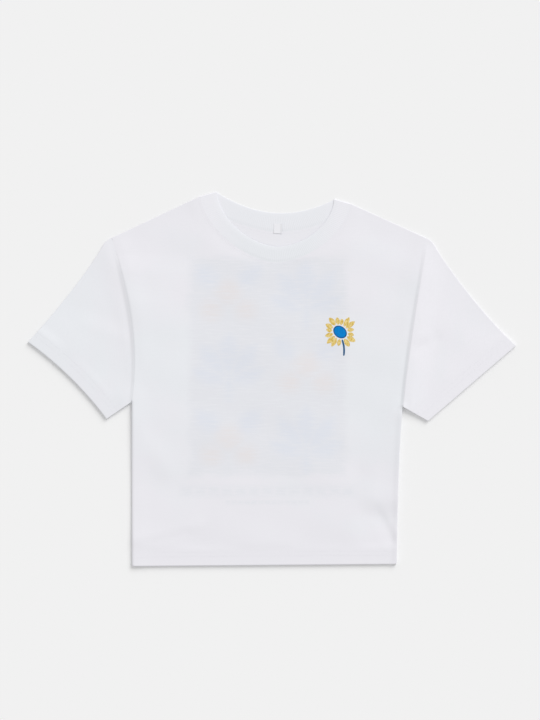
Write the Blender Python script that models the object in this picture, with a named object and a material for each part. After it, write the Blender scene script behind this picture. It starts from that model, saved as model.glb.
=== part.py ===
"""A child's short-sleeved t-shirt, laid flat and face up.

It is made as it is sewn: a front and a back panel, two sleeves, a neck rib folded in two
and a small tab at the back neck seam. The model is in metres with +Z up, and the shirt
rests on z = 0. Seen from above, +Y runs to the neck and +X to the wearer's left.
Every size below is in millimetres.
"""

from collections import namedtuple

import bmesh
import bpy
import numpy as np
from mathutils import Vector
from mathutils.geometry import delaunay_2d_cdt

MM = 0.001

# Cloth
WALL = 1.0  # one layer of jersey
HEM_WALL = 2.0  # a layer and the strip that is turned up behind it
HEM_DEPTH = 20.0
HEM_STEP = 1.5  # from the strip's sewn edge to the single layer
BAND_WALL = 2.0  # the neck rib, folded in two
RIB_PITCH = 2.5  # from one raised rib of its knit to the next
RIB_DEPTH = 0.3
TAB_WALL = 1.0
SEAM_GAP = 0.3  # between two pieces that are sewn or lie together
RIM = 0.35  # upright edge left where a rounded edge ends

# How the cloth lies
LAY = 2.8  # upper face over the surface, away from the seams
HEM_LAY = 4.35  # the same where four layers lie at a hem
HEM_SLOPE = 45.0  # over this length the body comes down from its hem
CUFF_SLOPE = 16.0
SEAM_LIFT = 0.9  # the sewn allowances raise the cloth beside an armhole
SEAM_SLOPE = 35.0
GROOVE = 1.25  # an armhole seam sinks in by this
GROOVE_REACH = 2.2
EDGE_ROUND = 2.4  # a folded or side edge is rounded over this width
EDGE_CLOSE = 6.0  # and its two layers close over this one
UNDER_ROUND = 1.5
UNDER_LIFT = 0.6
BAND_LAY = 3.4  # the rib's upper face at the front of the neck
BAND_FOLD_LAY = 4.35  # and where it lies on its own back half
BAND_LEVEL = 0.35  # the front of the rib lies level over this share of the way to its folds
BAND_LIES_ON = 0.8  # and from this share on it lies on its back half
BAND_ROUND = 0.65  # its edges are rounded over this width
BAND_DROP = 0.3  # from the rib down to the panel beside it
BAND_SLOPE = 25.0

# Corners of the flat shirt on the wearer's right (-X) and left (+X).
Corner = namedtuple("Corner", "right left")
CORNERS = {
    "hem": Corner((-198.5, -265.5), (176.5, -262.5)),
    "underarm": Corner((-199.0, -33.0), (185.0, -39.5)),
    "cuff": Corner((-234.5, -57.0), (221.0, -60.0)),
    "sleeve": Corner((-345.7, 52.0), (345.7, 47.0)),
    "cap": Corner((-238.0, 192.0), (229.5, 190.5)),
    "shoulder": Corner((-227.0, 199.5), (219.5, 199.0)),
    "neck": Corner((-102.0, 258.5), (110.5, 248.5)),
    "band": Corner((-78.5, 265.5), (88.0, 255.0)),
}

# Edges between them. A curved edge has the pull of its two handles on either side, each
# an offset from that end.
Edge = namedtuple("Edge", "start end right left")
STRAIGHT = None
EDGES = {
    "side": Edge("hem", "underarm", STRAIGHT, ((1.5, 77), (-6, -69))),
    "underarm": Edge("underarm", "cuff", STRAIGHT, STRAIGHT),
    "cuff": Edge("sleeve", "cuff", ((42.5, -30.5), (-31.5, 42)), STRAIGHT),
    "armhole": Edge("underarm", "shoulder", ((11, 80), (25.5, -85)), ((6.5, 78), (-11, -71))),
    "cap": Edge("shoulder", "cap", ((-5, -2), (2.5, 3)), ((5, -2.5), (-3, 4))),
    "sleeve_top": Edge("cap", "sleeve", ((-16, -32), (32, 33)), ((18, -33), (-38, 33))),
    "shoulder": Edge("shoulder", "neck", STRAIGHT, STRAIGHT),
}

# Neck curves. Each hangs below the line between its two ends by
# depth x (1 - |w| ^ power) ^ (1 / root), with w from -1 on the wearer's right to 1.
Dip = namedtuple("Dip", "ends depth power root")
NECK = {
    "front_seam": Dip("neck", 87.5, 1.65, 1.65),
    "front_inner": Dip("band", 72.0, 1.75, 1.75),
    "back_seam": Dip("neck", 44.0, 1.6, 1.6),
    "back_inner": Dip("band", 24.0, 2.0, 1.0),
}

# Soft folds of the upper layer: from here to there, height of the ridge, reach across.
# They fade out beside the seams and the hem strips.
FOLD_FROM_SEAM = 14.0
FOLD_FROM_HEM = 10.0
Fold = namedtuple("Fold", "start end height reach")
FOLDS = (
    Fold((138, -212), (178, -228), -0.8, 11),
    Fold((150, -190), (180, -176), 0.7, 14),
    Fold((182, -110), (176, -170), 0.6, 12),
    Fold((-198, -230), (-104, -207), 0.6, 12),
    Fold((-196, -60), (-150, -130), 0.6, 16),
    Fold((184, -60), (140, -120), 0.6, 16),
    Fold((192, 58), (232, 84), 0.8, 10),
    Fold((-212, 60), (-262, 78), 0.6, 12),
    Fold((-60, -90), (70, -140), 0.5, 40),
    Fold((-120, 60), (110, 40), 0.5, 60),
)

# The tab at the back neck: its middle, its size and how far it is turned, in degrees.
TAB_MIDDLE = (8.5, 213.0)
TAB_SIZE = (12.0, 14.0)
TAB_TURN = -2.0
TAB_CORNER = 1.0
TAB_SLOPE = 6.0  # past the seam the tab comes down to the panel over this length
TAB_POINTS = 8

# Mesh density
PITCH = 18.0  # between points in the middle of a panel
RINGS = (0.3, 1.0, 2.4, 5.0, 9.5)  # depths of the loops that follow a panel's edge
LOOP_CLEAR = 0.97  # a loop's point goes when another edge is nearer than this share of its depth
LOOP_LEAN = 0.4  # at a sharp corner a loop is moved in by no more than its depth over this
LATTICE_CLEAR = 4.0  # the lattice starts this far inside the last loop
STRIP_CLEAR = 7.0  # and stays this far from the edge of the hem strip
EDGE_POINTS = {"hem": 24, "side": 15, "armhole": 22, "shoulder": 12, "neck": 51}
LINE_POINTS = 33  # of a curve that others are measured from
NECK_LINE_POINTS = 91
RIB_LINE_POINTS = 401
SLEEVE_ACROSS = (0.0, 0.3, 1.0, 2.4, 6.0)  # from a folded edge
SLEEVE_COLUMNS = 9
SLEEVE_WIDTH = 200.0  # about, across the sleeve
SLEEVE_FROM_SEAM = (0.0, 0.8, 2.2, 4.5, 9.0)
SLEEVE_FROM_CUFF = (HEM_DEPTH + HEM_STEP, HEM_DEPTH, 10.0, 1.0, 0.3, 0.0)
SLEEVE_STATIONS = 6
BAND_TURNS = 6  # sections round each shoulder fold


# ---------------------------------------------------------------- plan of the shirt


def edge_line(name, side, count=LINE_POINTS):
    """Points along an edge on one side of the shirt."""
    edge = EDGES[name]
    start = np.array(getattr(CORNERS[edge.start], side), float)
    end = np.array(getattr(CORNERS[edge.end], side), float)
    pulls = getattr(edge, side) or ((end - start) / 3, (start - end) / 3)
    t = np.linspace(0, 1, count)[:, None]
    first, second = start + pulls[0], end + pulls[1]
    return (
        (1 - t) ** 3 * start
        + 3 * (1 - t) ** 2 * t * first
        + 3 * (1 - t) * t**2 * second
        + t**3 * end
    )


def joined(*lines):
    """Lines that follow each other, with each shared point kept once."""
    return np.vstack([lines[0], *(line[1:] for line in lines[1:])])


def along(line, shares):
    """Points at shares of a line's length."""
    steps = np.linalg.norm(np.diff(line, axis=0), axis=1)
    reached = np.concatenate([[0], np.cumsum(steps)])
    at = np.asarray(shares, float) * reached[-1]
    return np.stack([np.interp(at, reached, line[:, axis]) for axis in (0, 1)], axis=-1)


def length(line):
    return np.linalg.norm(np.diff(line, axis=0), axis=1).sum()


def shifted(line, depth):
    """The line moved to the left of its own direction."""
    run = np.gradient(line, axis=0)
    normal = np.stack([-run[:, 1], run[:, 0]], axis=1)
    return line + depth * normal / np.linalg.norm(normal, axis=1)[:, None]


def distance(points, line):
    """How far each point lies from a line."""
    start, run = line[:-1], np.diff(line, axis=0)
    offset = points[:, None] - start
    share = np.clip((offset * run).sum(2) / (run * run).sum(1), 0, 1)
    return np.linalg.norm(offset - share[..., None] * run, axis=2).min(1)


def outward(side):
    """Away from the shirt, square to the fold of the neck rib on one side."""
    seam = np.array(getattr(CORNERS["neck"], side), float)
    inner = np.array(getattr(CORNERS["band"], side), float)
    run = (inner - seam) / np.linalg.norm(inner - seam)
    normal = np.array([-run[1], run[0]])
    return normal if normal[1] > 0 else -normal


def band_end(corner, side):
    """Where a neck curve meets the rib's fold, half the folded height inside the outline."""
    return np.array(getattr(CORNERS[corner], side), float) - outward(side) * BAND_FOLD_LAY / 2


def neck_curve(name, w):
    """Points of a neck curve at places w across it."""
    curve = NECK[name]
    w = np.asarray(w, float)
    share = ((w + 1) / 2)[:, None]
    chord = (1 - share) * band_end(curve.ends, "right") + share * band_end(curve.ends, "left")
    dip = curve.depth * np.clip(1 - np.abs(w) ** curve.power, 0, None) ** (1 / curve.root)
    return chord - np.stack([np.zeros_like(w), dip], axis=1)


def across_neck(count):
    """Places across the neck, closer together towards the shoulders."""
    return -np.cos(np.linspace(0, np.pi, count))


def neck_edge(name):
    """A panel's neck edge, from the wearer's left to right, a seam gap from the rib."""
    seam = neck_curve(name, across_neck(EDGE_POINTS["neck"]))[::-1]
    corners = (
        np.array([CORNERS["neck"].left], float),
        np.array([CORNERS["neck"].right], float),
    )
    return shifted(np.vstack([corners[0], seam, corners[1]]), SEAM_GAP)


def panel_outline(neck):
    """A body panel's outline, anticlockwise from the hem's corner on the wearer's right."""
    hem = np.linspace(CORNERS["hem"].right, CORNERS["hem"].left, EDGE_POINTS["hem"])
    lines = {
        (name, side): edge_line(name, side, EDGE_POINTS[name])
        for name in ("side", "armhole", "shoulder")
        for side in ("right", "left")
    }
    return np.vstack(
        [
            hem[:-1],
            lines["side", "left"][:-1],
            shifted(lines["armhole", "left"], SEAM_GAP),
            lines["shoulder", "left"][1:-1],
            neck_edge(neck),
            lines["shoulder", "right"][-2:0:-1],
            shifted(lines["armhole", "right"][::-1], SEAM_GAP),
            lines["side", "right"][-2:0:-1],
        ]
    )


SIDES = ("right", "left")
HEM_LINE = np.array([CORNERS["hem"].right, CORNERS["hem"].left], float)
CUFF_LINES = [edge_line("cuff", side) for side in SIDES]
ARMHOLE_LINES = [edge_line("armhole", side) for side in SIDES]
CLOSED_LINES = [
    edge_line(name, side)
    for name in ("side", "underarm", "cap", "sleeve_top", "shoulder")
    for side in SIDES
]
FRONT_NECK_LINE = neck_curve("front_seam", across_neck(NECK_LINE_POINTS))


# ---------------------------------------------------------------- how the cloth lies


def fall(gap, reach):
    """1 at no gap, easing down to 0 at the reach."""
    share = np.clip(1 - gap / reach, 0, 1)
    return share * share * (3 - 2 * share)


def bump(gap, reach):
    return np.exp(-((gap / reach) ** 2))


def rounded(gap, radius):
    """The height of a quarter circle, as a share of its radius, at a gap from its foot."""
    return np.sqrt(1 - (1 - np.clip(gap / radius, 0, 1)) ** 2)


def nearest(points, lines):
    return np.min([distance(points, line) for line in lines], axis=0)


def band_lay(w):
    """Height of the rib's upper face across the front of the neck."""
    before_fold = np.clip(BAND_LIES_ON - np.abs(w), 0, None)
    return BAND_LAY + (BAND_FOLD_LAY - BAND_LAY) * fall(before_fold, BAND_LIES_ON - BAND_LEVEL)


def thickness(points):
    """Wall of either layer: double in the turned-up strips."""
    gap = nearest(points, [HEM_LINE, *CUFF_LINES])
    return WALL + (HEM_WALL - WALL) * np.clip(1 - (gap - HEM_DEPTH) / HEM_STEP, 0, 1)


def lay(points):
    """Height of the shirt's upper face, before its edges are rounded."""
    strip = HEM_DEPTH + HEM_STEP
    body_gap, cuff_gap = distance(points, HEM_LINE) - strip, nearest(points, CUFF_LINES) - strip
    hem_gap = np.minimum(body_gap, cuff_gap)
    hem = (HEM_LAY - LAY) * fall(body_gap, HEM_SLOPE)
    cuff = (HEM_LAY - LAY) * fall(cuff_gap, CUFF_SLOPE)
    seam_gap = nearest(points, ARMHOLE_LINES)
    armhole = SEAM_LIFT * fall(seam_gap, SEAM_SLOPE)
    ends = FRONT_NECK_LINE[[0, -1], 0]
    w = np.clip((2 * points[:, 0] - ends.sum()) / (ends[1] - ends[0]), -1, 1)
    neck_gap = distance(points, FRONT_NECK_LINE)
    neck = (band_lay(w) - BAND_DROP - LAY) * fall(neck_gap, BAND_SLOPE)
    lifts = np.array([hem, cuff, armhole, neck])
    folds = sum(
        fold.height * bump(distance(points, np.array([fold.start, fold.end], float)), fold.reach)
        for fold in FOLDS
    )
    clear_of_seams = 1 - fall(np.minimum(seam_gap, neck_gap), FOLD_FROM_SEAM)
    clear_of_hems = 1 - fall(hem_gap, FOLD_FROM_HEM)
    return (
        LAY
        + (lifts**3).sum(0) ** (1 / 3)
        - GROOVE * bump(seam_gap, GROOVE_REACH)
        + folds * clear_of_seams * clear_of_hems
    )


def meeting_height(points):
    """Where the two layers meet at a closed edge: halfway between their inner faces."""
    return lay(points) / 2


def hem_round(points, outer, inner):
    """Both faces of a layer, rounded at the fold of a hem or cuff."""
    share = rounded(nearest(points, [HEM_LINE, *CUFF_LINES]), HEM_WALL / 2)
    middle = (outer + inner) / 2
    rim = RIM / 2 * np.sign(outer - inner)
    return (
        middle + rim + (outer - middle - rim) * share,
        middle - rim + (inner - middle + rim) * share,
    )


def upper_layer(points):
    """Outer and inner face of the layer on top."""
    gap = nearest(points, CLOSED_LINES)
    foot = meeting_height(points) + SEAM_GAP / 2
    outer = lay(points)
    inner = outer - thickness(points)
    inner = inner + (foot - inner) * fall(gap, EDGE_CLOSE)
    outer = foot + RIM + (outer - foot - RIM) * rounded(gap, EDGE_ROUND)
    return hem_round(points, outer, inner)


def lower_layer(points):
    """Outer and inner face of the layer on the surface."""
    gap = nearest(points, CLOSED_LINES)
    foot = meeting_height(points) - SEAM_GAP / 2
    inner = thickness(points)
    inner = inner + (foot - inner) * fall(gap, EDGE_CLOSE)
    outer = UNDER_LIFT * (1 - rounded(gap, UNDER_ROUND))
    return hem_round(points, outer, inner)


# ---------------------------------------------------------------- meshes


def linear(value):
    """One sRGB channel, 0 to 255, as linear light."""
    share = value / 255
    return share / 12.92 if share <= 0.04045 else ((share + 0.055) / 1.055) ** 2.4


def fabric(name, rgb, roughness):
    material = bpy.data.materials.new(name)
    material.use_nodes = True
    shader = material.node_tree.nodes["Principled BSDF"]
    shader.inputs["Base Color"].default_value = (*map(linear, rgb), 1)
    shader.inputs["Roughness"].default_value = roughness
    shader.inputs["Metallic"].default_value = 0
    return material


def add_piece(name, points, faces, material, shirt):
    """A named object from points in millimetres."""
    mesh = bpy.data.meshes.new(name)
    mesh.from_pydata(np.asarray(points, float) * MM, [], faces)
    shape = bmesh.new()
    shape.from_mesh(mesh)
    bmesh.ops.recalc_face_normals(shape, faces=shape.faces)
    shape.to_mesh(mesh)
    shape.free()
    mesh.materials.append(material)
    piece = bpy.data.objects.new(name, mesh)
    piece.parent = shirt
    bpy.context.scene.collection.objects.link(piece)
    return piece


def inset_points(outline, depth):
    """Points of the loop that lies inside an outline at a depth, without its crossings."""
    before = outline - np.roll(outline, 1, axis=0)
    after = np.roll(outline, -1, axis=0) - outline
    before /= np.linalg.norm(before, axis=1)[:, None]
    after /= np.linalg.norm(after, axis=1)[:, None]
    normal = np.stack([-(before + after)[:, 1], (before + after)[:, 0]], axis=1)
    normal /= np.linalg.norm(normal, axis=1)[:, None]
    lean = -before[:, 1] * normal[:, 0] + before[:, 0] * normal[:, 1]
    loop = outline + depth * normal / np.clip(lean, LOOP_LEAN, None)[:, None]
    closed = np.vstack([outline, outline[:1]])
    return loop[distance(loop, closed) > LOOP_CLEAR * depth]


def inside(points, outline):
    """Which points an outline goes round."""
    x, y = points[:, :1], points[:, 1:]
    a, b = outline, np.roll(outline, -1, axis=0)
    spans = (a[:, 1] > y) != (b[:, 1] > y)
    rise = np.where(spans, b[:, 1] - a[:, 1], 1)
    crossing = a[:, 0] + (y - a[:, 1]) * (b[:, 0] - a[:, 0]) / rise
    return (spans & (x < crossing)).sum(1) % 2 == 1


def panel_points(outline):
    """The points of a panel: its edge, the loops along it, the hem strip's and a lattice."""
    closed = np.vstack([outline, outline[:1]])
    loops = [inset_points(outline, depth) for depth in RINGS]
    low, high = outline.min(0), outline.max(0)
    x, y = np.meshgrid(np.arange(low[0], high[0], PITCH), np.arange(low[1], high[1], PITCH))
    lattice = np.stack([x.ravel(), y.ravel()], axis=1)
    hem_gap = distance(lattice, HEM_LINE)
    from_strip = np.abs(hem_gap - HEM_DEPTH - HEM_STEP / 2)
    lattice = lattice[from_strip > STRIP_CLEAR]
    strip = [
        np.linspace(HEM_LINE[0], HEM_LINE[1], EDGE_POINTS["hem"]) + (0, rise)
        for rise in (HEM_DEPTH, HEM_DEPTH + HEM_STEP)
    ]
    middle = np.vstack([lattice, *strip])
    middle = middle[inside(middle, outline)]
    middle = middle[distance(middle, closed) > RINGS[-1] + LATTICE_CLEAR]
    return np.vstack([outline, *loops, middle])


def sheet(outline, points):
    """Triangles that fill an outline through its points, and their directed border."""
    filled = delaunay_2d_cdt(
        [Vector(point) for point in points], [], [list(range(len(outline)))], 1, 1e-6
    )
    plan, triangles = np.array([tuple(point) for point in filled[0]]), filled[2]
    edges = {
        (face[i], face[(i + 1) % len(face)]) for face in triangles for i in range(len(face))
    }
    border = [(a, b) for a, b in edges if (b, a) not in edges]
    return plan, triangles, border


def add_slab(name, outline, points, faces_of, material, shirt):
    """A flat piece with an upper and a lower face over the same plan."""
    plan, triangles, border = sheet(outline, points)
    upper, lower = faces_of(plan)
    count = len(plan)
    vertices = np.vstack([np.column_stack([plan, upper]), np.column_stack([plan, lower])])
    faces = [list(face) for face in triangles]
    faces += [[i + count for i in reversed(face)] for face in triangles]
    faces += [[b, a, a + count, b + count] for a, b in border]
    return add_piece(name, vertices, faces, material, shirt)


def add_rings(name, rings, faces_between, material, shirt):
    """A piece through rings of points of equal number, joined in the order given."""
    size = len(rings[0])
    faces = []
    for i, j in faces_between:
        for k in range(size):
            after = (k + 1) % size
            faces.append([i * size + k, i * size + after, j * size + after, j * size + k])
    return add_piece(name, np.vstack(rings), faces, material, shirt)


# ---------------------------------------------------------------- pieces


def add_front_panel(shirt):
    outline = panel_outline("front_seam")
    cloth = fabric("front_jersey", (234, 233, 238), 0.9)
    return add_slab("front_panel", outline, panel_points(outline), upper_layer, cloth, shirt)


def add_back_panel(shirt):
    outline = panel_outline("back_seam")
    cloth = fabric("back_jersey", (232, 231, 236), 0.9)

    def faces_of(plan):
        outer, inner = lower_layer(plan)
        return inner, outer

    return add_slab("back_panel", outline, panel_points(outline), faces_of, cloth, shirt)


def sleeve_plan(side):
    """A function from shares across and along the sleeve to its plan."""
    seam = edge_line("armhole", side)[::-1]
    cuff = edge_line("cuff", side)
    top = joined(edge_line("cap", side), edge_line("sleeve_top", side))
    under = edge_line("underarm", side)

    def plan(across, out):
        s, f = across[:, None], out[:, None]
        corners = (
            (1 - s) * (1 - f) * seam[0]
            + s * (1 - f) * seam[-1]
            + (1 - s) * f * cuff[0]
            + s * f * cuff[-1]
        )
        rails = (1 - f) * along(seam, across) + f * along(cuff, across)
        folds = (1 - s) * along(top, out) + s * along(under, out)
        return rails + folds - corners

    return plan, length(top), length(under)


def add_sleeve(name, side, shirt):
    """A flat tube from the armhole to the cuff, with rings of cloth all round it."""
    plan, top_length, under_length = sleeve_plan(side)
    edge = np.array(SLEEVE_ACROSS) / SLEEVE_WIDTH
    middle = np.linspace(edge[-1], 1 - edge[-1], SLEEVE_COLUMNS + 2)[1:-1]
    across = np.concatenate([edge, middle, 1 - edge[::-1]])
    lengths = (1 - across) * top_length + across * under_length
    near, far = SLEEVE_FROM_SEAM, SLEEVE_FROM_CUFF
    shares = np.linspace(0, 1, SLEEVE_STATIONS + 2)[1:-1]
    from_seam = (
        [gap + 0 * lengths for gap in near]
        + [near[-1] + share * (lengths - near[-1] - far[0]) for share in shares]
        + [lengths - gap for gap in far]
    )
    outer_rings, inner_rings = [], []
    for gap in from_seam:
        out = gap / lengths
        outer_plan = plan(across, out)
        wall = thickness(outer_plan) / SLEEVE_WIDTH
        inner_plan = plan(wall + across * (1 - 2 * wall), out)
        outer_rings.append(ring_round(outer_plan, 0))
        inner_rings.append(ring_round(inner_plan, 1))
    rings = outer_rings + inner_rings[::-1]
    order = [(i, (i + 1) % len(rings)) for i in range(len(rings))]
    cloth = fabric(name + "_jersey", (233, 233, 238), 0.9)
    return add_rings(name, rings, order, cloth, shirt)


def ring_round(plan, face):
    """A ring over the plan's upper face and back under it; face 0 is outer, 1 is inner."""
    upper = upper_layer(plan)[face]
    lower = lower_layer(plan)[face]
    ends = [0, -1]
    upper[ends] = meeting_height(plan)[ends]
    over = np.column_stack([plan, upper])
    below = np.column_stack([plan, lower])[-2:0:-1]
    return np.vstack([over, below])


def band_section(inner, seam, height, turn, away, cuts):
    """The rib's section from its folded inner edge to its seam, turned about that line.

    The turn is 0 where the outside of the rib faces up and pi where it faces down. Cuts
    are how far a furrow of the knit sinks into the outside and the inside there.
    """
    half = BAND_WALL / 2
    width = np.linalg.norm(seam - inner)
    run = (seam - inner) / width
    outside, inside_face = half - cuts[0], cuts[1] - half
    profile = (
        (0, 0),
        (BAND_ROUND, outside),
        (width - BAND_ROUND, outside),
        (width, half / 2),
        (width, -half / 2),
        (width - BAND_ROUND, inside_face),
        (BAND_ROUND, inside_face),
    )
    points = []
    for across, off in profile:
        flat = inner + run * across + away * off * np.sin(turn)
        points.append((*flat, height + off * np.cos(turn)))
    return np.array(points)


def rib_places(part):
    """Places across the neck, two for each rib of the knit: its crest and its furrow."""
    w = across_neck(RIB_LINE_POINTS)
    middle = (neck_curve(part + "_inner", w) + neck_curve(part + "_seam", w)) / 2
    reached = np.concatenate([[0], np.cumsum(np.linalg.norm(np.diff(middle, axis=0), axis=1))])
    ribs = round(reached[-1] / RIB_PITCH)
    return np.interp(np.linspace(0, reached[-1], 2 * ribs + 1), reached, w)


def band_run(part, places):
    """Sections of the rib's front or back half, ribbed on the face that looks up."""
    inner = neck_curve(part + "_inner", places)
    seam = neck_curve(part + "_seam", places)
    on_surface = part == "back"
    turn = np.pi if on_surface else 0.0
    heights = np.full(len(places), BAND_WALL) if on_surface else band_lay(places)
    sections = []
    for i, height in enumerate(heights - BAND_WALL / 2):
        furrow = RIB_DEPTH * (i % 2)
        cuts = (0, furrow) if on_surface else (furrow, 0)
        sections.append(band_section(inner[i], seam[i], height, turn, np.zeros(2), cuts))
    return sections


def band_turn(side, turns):
    """Sections round the rib's fold at one shoulder."""
    top, bottom = BAND_FOLD_LAY - BAND_WALL / 2, BAND_WALL / 2
    radius = (top - bottom) / 2
    away = outward(side)
    sections = []
    for i, turn in enumerate(turns):
        shift = away * radius * np.sin(turn)
        height = (top + bottom) / 2 + radius * np.cos(turn)
        inner, seam = band_end("band", side) + shift, band_end("neck", side) + shift
        cuts = (RIB_DEPTH * ((i + 1) % 2), 0)
        sections.append(band_section(inner, seam, height, turn, away, cuts))
    return sections


def add_neck_rib(shirt):
    """A closed ring: the front half, a shoulder fold, the back half and the other fold."""
    turns = np.linspace(0, np.pi, BAND_TURNS + 1)[1:-1]
    sections = [
        *band_run("front", rib_places("front")),
        *band_turn("left", turns),
        *band_run("back", rib_places("back")[::-1]),
        *band_turn("right", turns[::-1]),
    ]
    order = [(i, (i + 1) % len(sections)) for i in range(len(sections))]
    cloth = fabric("neck_rib_knit", (230, 231, 236), 0.92)
    return add_rings("neck_rib", sections, order, cloth, shirt)


def tab_plan():
    """The tab's outline with its corners cut, and the line of points down its middle."""
    x, y = np.array(TAB_SIZE) / 2
    cut = TAB_CORNER
    outline = np.vstack(
        [
            np.linspace((x, cut - y), (x, y - cut), TAB_POINTS),
            np.linspace((x - cut, y), (cut - x, y), 3),
            np.linspace((-x, y - cut), (-x, cut - y), TAB_POINTS),
            np.linspace((cut - x, -y), (x - cut, -y), 3),
        ]
    )
    middle = np.linspace((0, cut - y), (0, y - cut), TAB_POINTS)
    turn = np.radians(TAB_TURN)
    rotate = np.array([(np.cos(turn), np.sin(turn)), (-np.sin(turn), np.cos(turn))])
    return outline @ rotate + TAB_MIDDLE, middle @ rotate + TAB_MIDDLE


def add_neck_label(shirt):
    """The tab lies on the rib, and its lower end comes down over the seam to the panel."""
    outline, middle = tab_plan()
    seam = neck_curve("back_seam", across_neck(EDGE_POINTS["neck"]))

    def faces_of(plan):
        past_seam = np.interp(plan[:, 0], seam[:, 0], seam[:, 1]) - plan[:, 1]
        on_rib = fall(np.clip(past_seam, 0, None), TAB_SLOPE)
        rest = WALL + (BAND_WALL - WALL) * on_rib + SEAM_GAP
        return rest + TAB_WALL, rest

    tape = fabric("label_tape", (226, 227, 231), 0.8)
    points = np.vstack([outline, middle])
    return add_slab("neck_label", outline, points, faces_of, tape, shirt)


def main():
    for old in list(bpy.data.objects):
        bpy.data.objects.remove(old)
    shirt = bpy.data.objects.new("t_shirt", None)
    bpy.context.scene.collection.objects.link(shirt)
    add_front_panel(shirt)
    add_back_panel(shirt)
    add_sleeve("right_sleeve", "right", shirt)
    add_sleeve("left_sleeve", "left", shirt)
    add_neck_rib(shirt)
    add_neck_label(shirt)


main()
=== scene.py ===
"""How a child's cotton t-shirt looks, laid flat and face up and seen from straight above.

Each sewn piece of the frame is replaced by a finer shell on the same plan, with its small
creases, stitching, rib and prints. Sizes are in millimetres until a mesh is made, +Y runs
to the neck and +X to the wearer's left.
"""

from collections import namedtuple
from functools import partial

import bmesh
import bpy
import numpy as np
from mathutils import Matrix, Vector
from mathutils.geometry import delaunay_2d_cdt


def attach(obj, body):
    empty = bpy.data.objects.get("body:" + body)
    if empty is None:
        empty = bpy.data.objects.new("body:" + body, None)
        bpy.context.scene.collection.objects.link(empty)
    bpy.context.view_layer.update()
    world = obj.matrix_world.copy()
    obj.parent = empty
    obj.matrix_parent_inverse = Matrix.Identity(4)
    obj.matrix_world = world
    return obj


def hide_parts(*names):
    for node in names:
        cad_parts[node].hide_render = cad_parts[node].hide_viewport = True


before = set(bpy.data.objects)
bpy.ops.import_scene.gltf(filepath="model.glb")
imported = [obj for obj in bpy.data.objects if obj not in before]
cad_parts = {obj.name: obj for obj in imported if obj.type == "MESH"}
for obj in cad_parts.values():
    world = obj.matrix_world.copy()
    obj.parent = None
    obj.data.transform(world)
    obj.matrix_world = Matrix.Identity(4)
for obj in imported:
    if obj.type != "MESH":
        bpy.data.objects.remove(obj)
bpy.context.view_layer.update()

MM = 0.001

# Cloth and how it lies. The walls are thinner than the solids', and nearer to real cloth.
WALL = 0.65
HEM_WALL = 2.0
HEM_DEPTH = 20.0
HEM_STEP = 1.5
BAND_WALL = 1.2
RIB_PITCH = 2.5
SEAM_GAP = 0.02  # sewn pieces all but touch here, where the solids keep 0.3
RIM = 0.2  # the wall that is left at a rounded edge
LAY = 2.8  # height of the upper face, and how the hems and seams lift it towards them
HEM_LAY = 4.35
HEM_SLOPE = 120.0
HEM_BEAD = 0.1  # the fold of the hem stands up by this, over its last few millimetres
HEM_BEAD_REACH = 9.0
CUFF_SLOPE = 110.0
SEAM_LIFT = 0.9
SEAM_SLOPE = 35.0
EDGE_CLOSE = 6.0  # the two layers come together over this, at a closed edge
UNDER_ROUND = 2.4
UNDER_LIFT = 0.9  # the underside rises by this to its edges
BAND_LAY = 2.8  # the rib's upper face at the middle of the neck, and at its shoulder folds
BAND_FOLD_LAY = 2.5
BAND_LEVEL = 0.35  # it leaves the one at this share of the way and reaches the other at that
BAND_LIES_ON = 0.8
BAND_DROP = 0.1  # the panel lies lower than the rib
BAND_SLOPE = 25.0
BAND_GROOVE = 0.13  # the panel dips by this beside the neck seam
BAND_GROOVE_REACH = 2.4
OPEN_FROM = 0.85  # the neck seam shows no dip beyond this share of the way to a shoulder
NECK_RISE = 0.3  # the back panel rises by this to its neck seam
NECK_RISE_REACH = 14.0
FURROW = 0.12  # the line of an armhole seam itself
FURROW_REACH = 0.9
FURROW_TOP = 172.0  # it fades out from this level, towards the shoulder
FURROW_EASE = 14.0

# Finer relief that only the looks have
RIB_DEPTH = 0.08
STITCH_PITCH = 3.0
STITCH_LENGTH = 2.4
THREAD = 0.24
STITCH_SINK = 0.025  # a sewn row pulls the cloth in by this
STITCH_REACH = 1.2
HEM_ROWS = (13.0, 19.0)  # the two needle rows, from the fold of a hem
NECK_ROW = 2.6  # the row beside the neck seam

Corner = namedtuple("Corner", "right left")
CORNERS = {
    "hem": Corner((-198.5, -265.5), (176.5, -262.5)),
    "underarm": Corner((-199.0, -33.0), (185.0, -39.5)),
    "cuff": Corner((-234.5, -57.0), (221.0, -60.0)),
    "sleeve": Corner((-345.7, 52.0), (345.7, 47.0)),
    "cap": Corner((-238.0, 192.0), (229.5, 190.5)),
    "shoulder": Corner((-227.0, 199.5), (219.5, 199.0)),
    "neck": Corner((-102.0, 258.5), (110.5, 248.5)),
    "band": Corner((-78.5, 265.5), (88.0, 255.0)),
}

Edge = namedtuple("Edge", "start end right left")
STRAIGHT = None
EDGES = {
    "side": Edge("hem", "underarm", STRAIGHT, ((1.5, 77), (-6, -69))),
    "underarm": Edge("underarm", "cuff", STRAIGHT, STRAIGHT),
    "cuff": Edge("sleeve", "cuff", ((42.5, -30.5), (-31.5, 42)), STRAIGHT),
    "armhole": Edge("underarm", "shoulder", ((11, 80), (25.5, -85)), ((6.5, 78), (-11, -71))),
    "cap": Edge("shoulder", "cap", ((-5, -2), (2.5, 3)), ((5, -2.5), (-3, 4))),
    "sleeve_top": Edge("cap", "sleeve", ((-16, -32), (32, 33)), ((18, -33), (-38, 33))),
    "shoulder": Edge("shoulder", "neck", STRAIGHT, STRAIGHT),
}

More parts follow.
